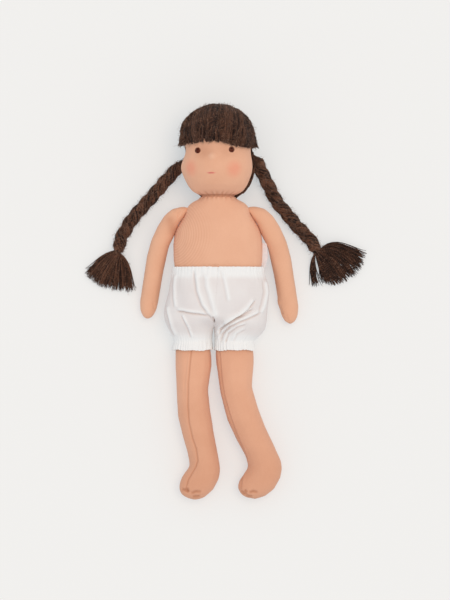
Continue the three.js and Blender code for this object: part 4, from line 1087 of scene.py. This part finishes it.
chance = random.Random(14)
for side, sign in both_sides.items():
    body = f"braid_{side}"
    course, length = smooth_route(plait_routes[side], plait_steps)
    routes, cores = [], []
    for bunch in range(3):
        for thread in range(bunch_threads + 1):
            unevenness = chance.uniform(0, 6.3)
            core = thread == bunch_threads
            offset = 0.0 if core else bunch_radius - bunch_layer * (thread % 2)
            route = []
            for i, point in enumerate(course):
                t = i / (plait_steps - 1)
                _, across = level_way(course[max(i - 1, 0)], course[min(i + 1, plait_steps - 1)])
                phase = 2 * math.pi * (t * length / plait_period + bunch / 3)
                full = float(min(0.75 + 0.25 * smoothstep(0, 0.1, t),
                                 1 - 0.5 * smoothstep(0.94, 1.0, t)))
                angle = 2 * math.pi * (thread / bunch_threads + t * length / plait_twist)
                out = offset * (0.45 + 0.55 * full) + 0.12 * mm * math.sin(unevenness + 30 * t)
                sideways = full * plait_swing * math.sin(phase) + out * math.cos(angle)
                raised = full * plait_lift * math.sin(2 * phase) + out * math.sin(angle)
                place = point + across * sideways + up * raised
                place.z = max(place.z, above_table)
                route.append(place)
            (cores if core else routes).append(route)
    core = spin(f"plait_{side}_cores", cores, 1.8 * bunch_radius, sides=8, taper=1.0, seed=42)
    dress(core, hair_yarn, "hair_yarn", body)
    plait = spin(f"plait_{side}_strands", routes, plait_thread, taper=1.0, seed=41)
    dress(plait, hair_yarn, "hair_yarn", body, f"plait_{side}")
    halo(f"plait_{side}_fibres", plait, 3400, 4.2 * mm, 45, body)

    end = course[-1]
    way, across = level_way(course[-4], end)
    wraps = []
    for share in shares(tie_steps):
        angle = 2 * math.pi * tie_turns * share
        wraps.append(end + way * (tie_start + tie_length * share)
                     + across * (tie_radius[side] * math.cos(angle))
                     + up * (tie_height * math.sin(angle)))
    tie = spin(f"plait_{side}_tie", [wraps], tie_thread, sides=6, taper=1.0, seed=43)
    dress(tie, hair_yarn, "hair_yarn", body, f"plait_tie_{side}")

    routes, tones = [], []
    main_fan = fans[side][0]
    for fan in fans[side]:
        first, last, flare, reaches = fan["first"], fan["last"], fan["flare"], fan["reach"]
        for number in range(fan["strands"]):
            share = kept_in((number + 0.5) / fan["strands"] + chance.gauss(0, 0.012))
            towards = first + (last - first) * share
            bow = math.radians(sum(flare) * share - flare[0])
            reach = float(np.interp(share, np.linspace(0, 1, len(reaches)), reaches)) * mm
            reach *= chance.uniform(0.86, 1.02)
            crown = math.sin(math.pi * share) * min(1.0, fan["strands"] / 200)
            level = chance.uniform(-1, 1)
            curl, phase = chance.gauss(0, 0.06), chance.uniform(0, 6.3)
            lean = kept_in((towards - main_fan["first"]) / (main_fan["last"] - main_fan["first"]))
            root = end + across * (3.0 * mm * sign * math.cos(math.pi * lean))
            route = []
            for out in shares(tassel_steps):
                angle = math.radians(towards) + bow * (1 - out) ** 1.5 + curl * out * out
                place = root.lerp(end, out)
                place += Vector((math.cos(angle), math.sin(angle), 0)) * (out * reach)
                thick = 3.0 + 1.6 * crown * math.sin(math.pi * min(1, out * 1.3)) - 2.0 * out
                height = 6.2 - 3.2 * min(1.0, 1.6 * out) + level * thick
                height += 0.3 * math.sin(phase + 9 * out)
                place.z = max(yarn_floor, height * mm)
                route.append(place)
            routes.append(route)
            tones.append(chance.uniform(0, lightest_end[side]))
    tassel = spin(f"tassel_{side}_strands", routes, plait_thread, tones=tones, taper=0.5, seed=44)
    dress(tassel, hair_yarn, "hair_yarn", body, f"tassel_{side}")
    halo(f"tassel_{side}_fibres", tassel, 1100, 3.6 * mm, 46, body)

# Parting: backstitches in the same yarn hold the back hair down the middle of the head. They run
# from the crown to the nape, each one starting where the last one ended.
parting_stitches, parting_slant, parting_thread = 30, 0.03, 1.5 * mm
routes = []
for number in range(parting_stitches):
    route = []
    for share in shares(stitch_steps):
        polar = math.radians(8 + 145 * (number + 0.08 + 0.84 * share) / parting_stitches)
        turn = math.radians(179) + parting_slant * (share - 0.5)
        point = on_head(local_way(polar, turn), (2.0 + 1.3 * math.sin(math.pi * share)) * mm)
        point.z = max(point.z, yarn_floor)
        route.append(point)
    routes.append(route)
parting = spin("parting_stitches", routes, parting_thread, sides=6, taper=0.7, seed=51)
dress(parting, hair_yarn, "hair_yarn", "head", "parting_seam")

# Label: a bare white ribbon, folded once round its free edge, with both ends in the side of the
# torso. It was cut 23 mm along the body and 11 mm round the fold. Lengths in millimetres.
label_top, label_low = 6.9, -16.4
label_height, label_fold, fold_share = 25.0, 0.42, 0.16
label_columns, label_rows = 25, 37
ribbon_length, ribbon_width, ribbon_thickness = 23 * mm, 11 * mm, 0.22 * mm
satin_rib, satin_thread = 0.45 * mm, 0.3 * mm
# The free edge and the sewn edge, seen from above, by height
free_edge = [(-16.4, 44.6), (-12, 46.3), (-7, 47.4), (0, 46.9), (6.9, 46.4)]
sewn_edge = [(-16.4, 41.0), (-7, 41.6), (0, 41.6), (6.9, 41.2)]


def ribbon():
    y, v = np.meshgrid(np.linspace(label_top, label_low, label_rows),
                       np.linspace(-1, 1, label_columns), indexing="ij")
    free, sewn = (by_height(edge, y[:, 0])[:, None] for edge in (free_edge, sewn_edge))
    bend = np.clip((np.abs(v) - fold_share) / (1 - fold_share), 0, 1)
    turn = np.clip(v / fold_share, -1, 1) * math.pi / 2
    x = free - label_fold + label_fold * np.cos(turn) - (free - label_fold - sewn) * bend
    ease = 0.25 * np.sin(y * 0.45 + 0.5) * (1 - bend) + 0.12 * np.sin(y * 1.1)
    z = label_height + label_fold * np.sin(turn) + ease
    return woven("side_ribbon", np.stack([x, y, z], axis=-1), ribbon_thickness, 0,
                 weft=v * ribbon_width / 2, warp=y * mm)


def satin():
    """Ribbed ribbon with a thicker selvedge along both of its long sides."""
    tape = Finish("label_ribbon")
    weft, warp, place = tape.attribute("weft"), tape.attribute("warp"), tape.place()
    rib, thread = warp.wave(satin_rib), weft.wave(satin_thread)
    selvedge = (warp + 4.75 * mm).size().between(10.9 * mm, 11.3 * mm)
    cloudy = tape.cloud(place, 260, 3)
    colour = tape.blend((cloudy * 0.7 + rib * 0.2).least(1.0), linear(240, 233, 232),
                        linear(226, 212, 211))
    return tape.cover(colour, rib * 0.6 + thread * 0.3 + selvedge, 0.08 * mm, roughness=0.6,
                      sheen=0.1, specular=0.35)


label = ribbon()
dress(label, satin(), "label_ribbon", "torso", "side_label")

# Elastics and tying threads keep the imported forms: flat braid in the waist and cuffs, and strong
# twisted thread round the eye line and the neck.
braid_slant, twine_ply = 1.1 * mm, 0.9 * mm


def braid():
    tape = Finish("elastic")
    place = tape.place()
    across, along = tape.split(place, "X"), tape.split(place, "Y")
    slant, other = (across + along).swing(braid_slant), (across - along).swing(braid_slant)
    height = slant.most(other) * 0.5 + tape.cloud(place, 1400, 2) * 0.4
    # Painted shade: the braid is darker where its weave lies lower.
    colour = tape.blend(height.held(), linear(214, 211, 207), linear(243, 241, 238))
    return tape.cover(colour, height, 0.12 * mm, roughness=0.8, sheen=0.05)


def twine():
    thread = Finish("sewing_thread")
    place = thread.place()
    across, along = thread.split(place, "X"), thread.split(place, "Y")
    height = (across + along * 1.6).wave(twine_ply) * 0.6 + thread.cloud(place, 1800, 2) * 0.5
    # Painted shade: the thread is darker in the grooves between its plies.
    colour = thread.blend(height.held(), linear(205, 186, 164), linear(236, 222, 204))
    return thread.cover(colour, height, 0.1 * mm, roughness=0.75, sheen=0.1)


for stuff, names in ((braid(), ("waist_elastic", "cuff_elastic_right", "cuff_elastic_left")),
                     (twine(), ("eye_line_thread", "neck_thread"))):
    for name in names:
        materials = frame["nodes"][name].data.materials
        materials.clear()
        materials.append(stuff)
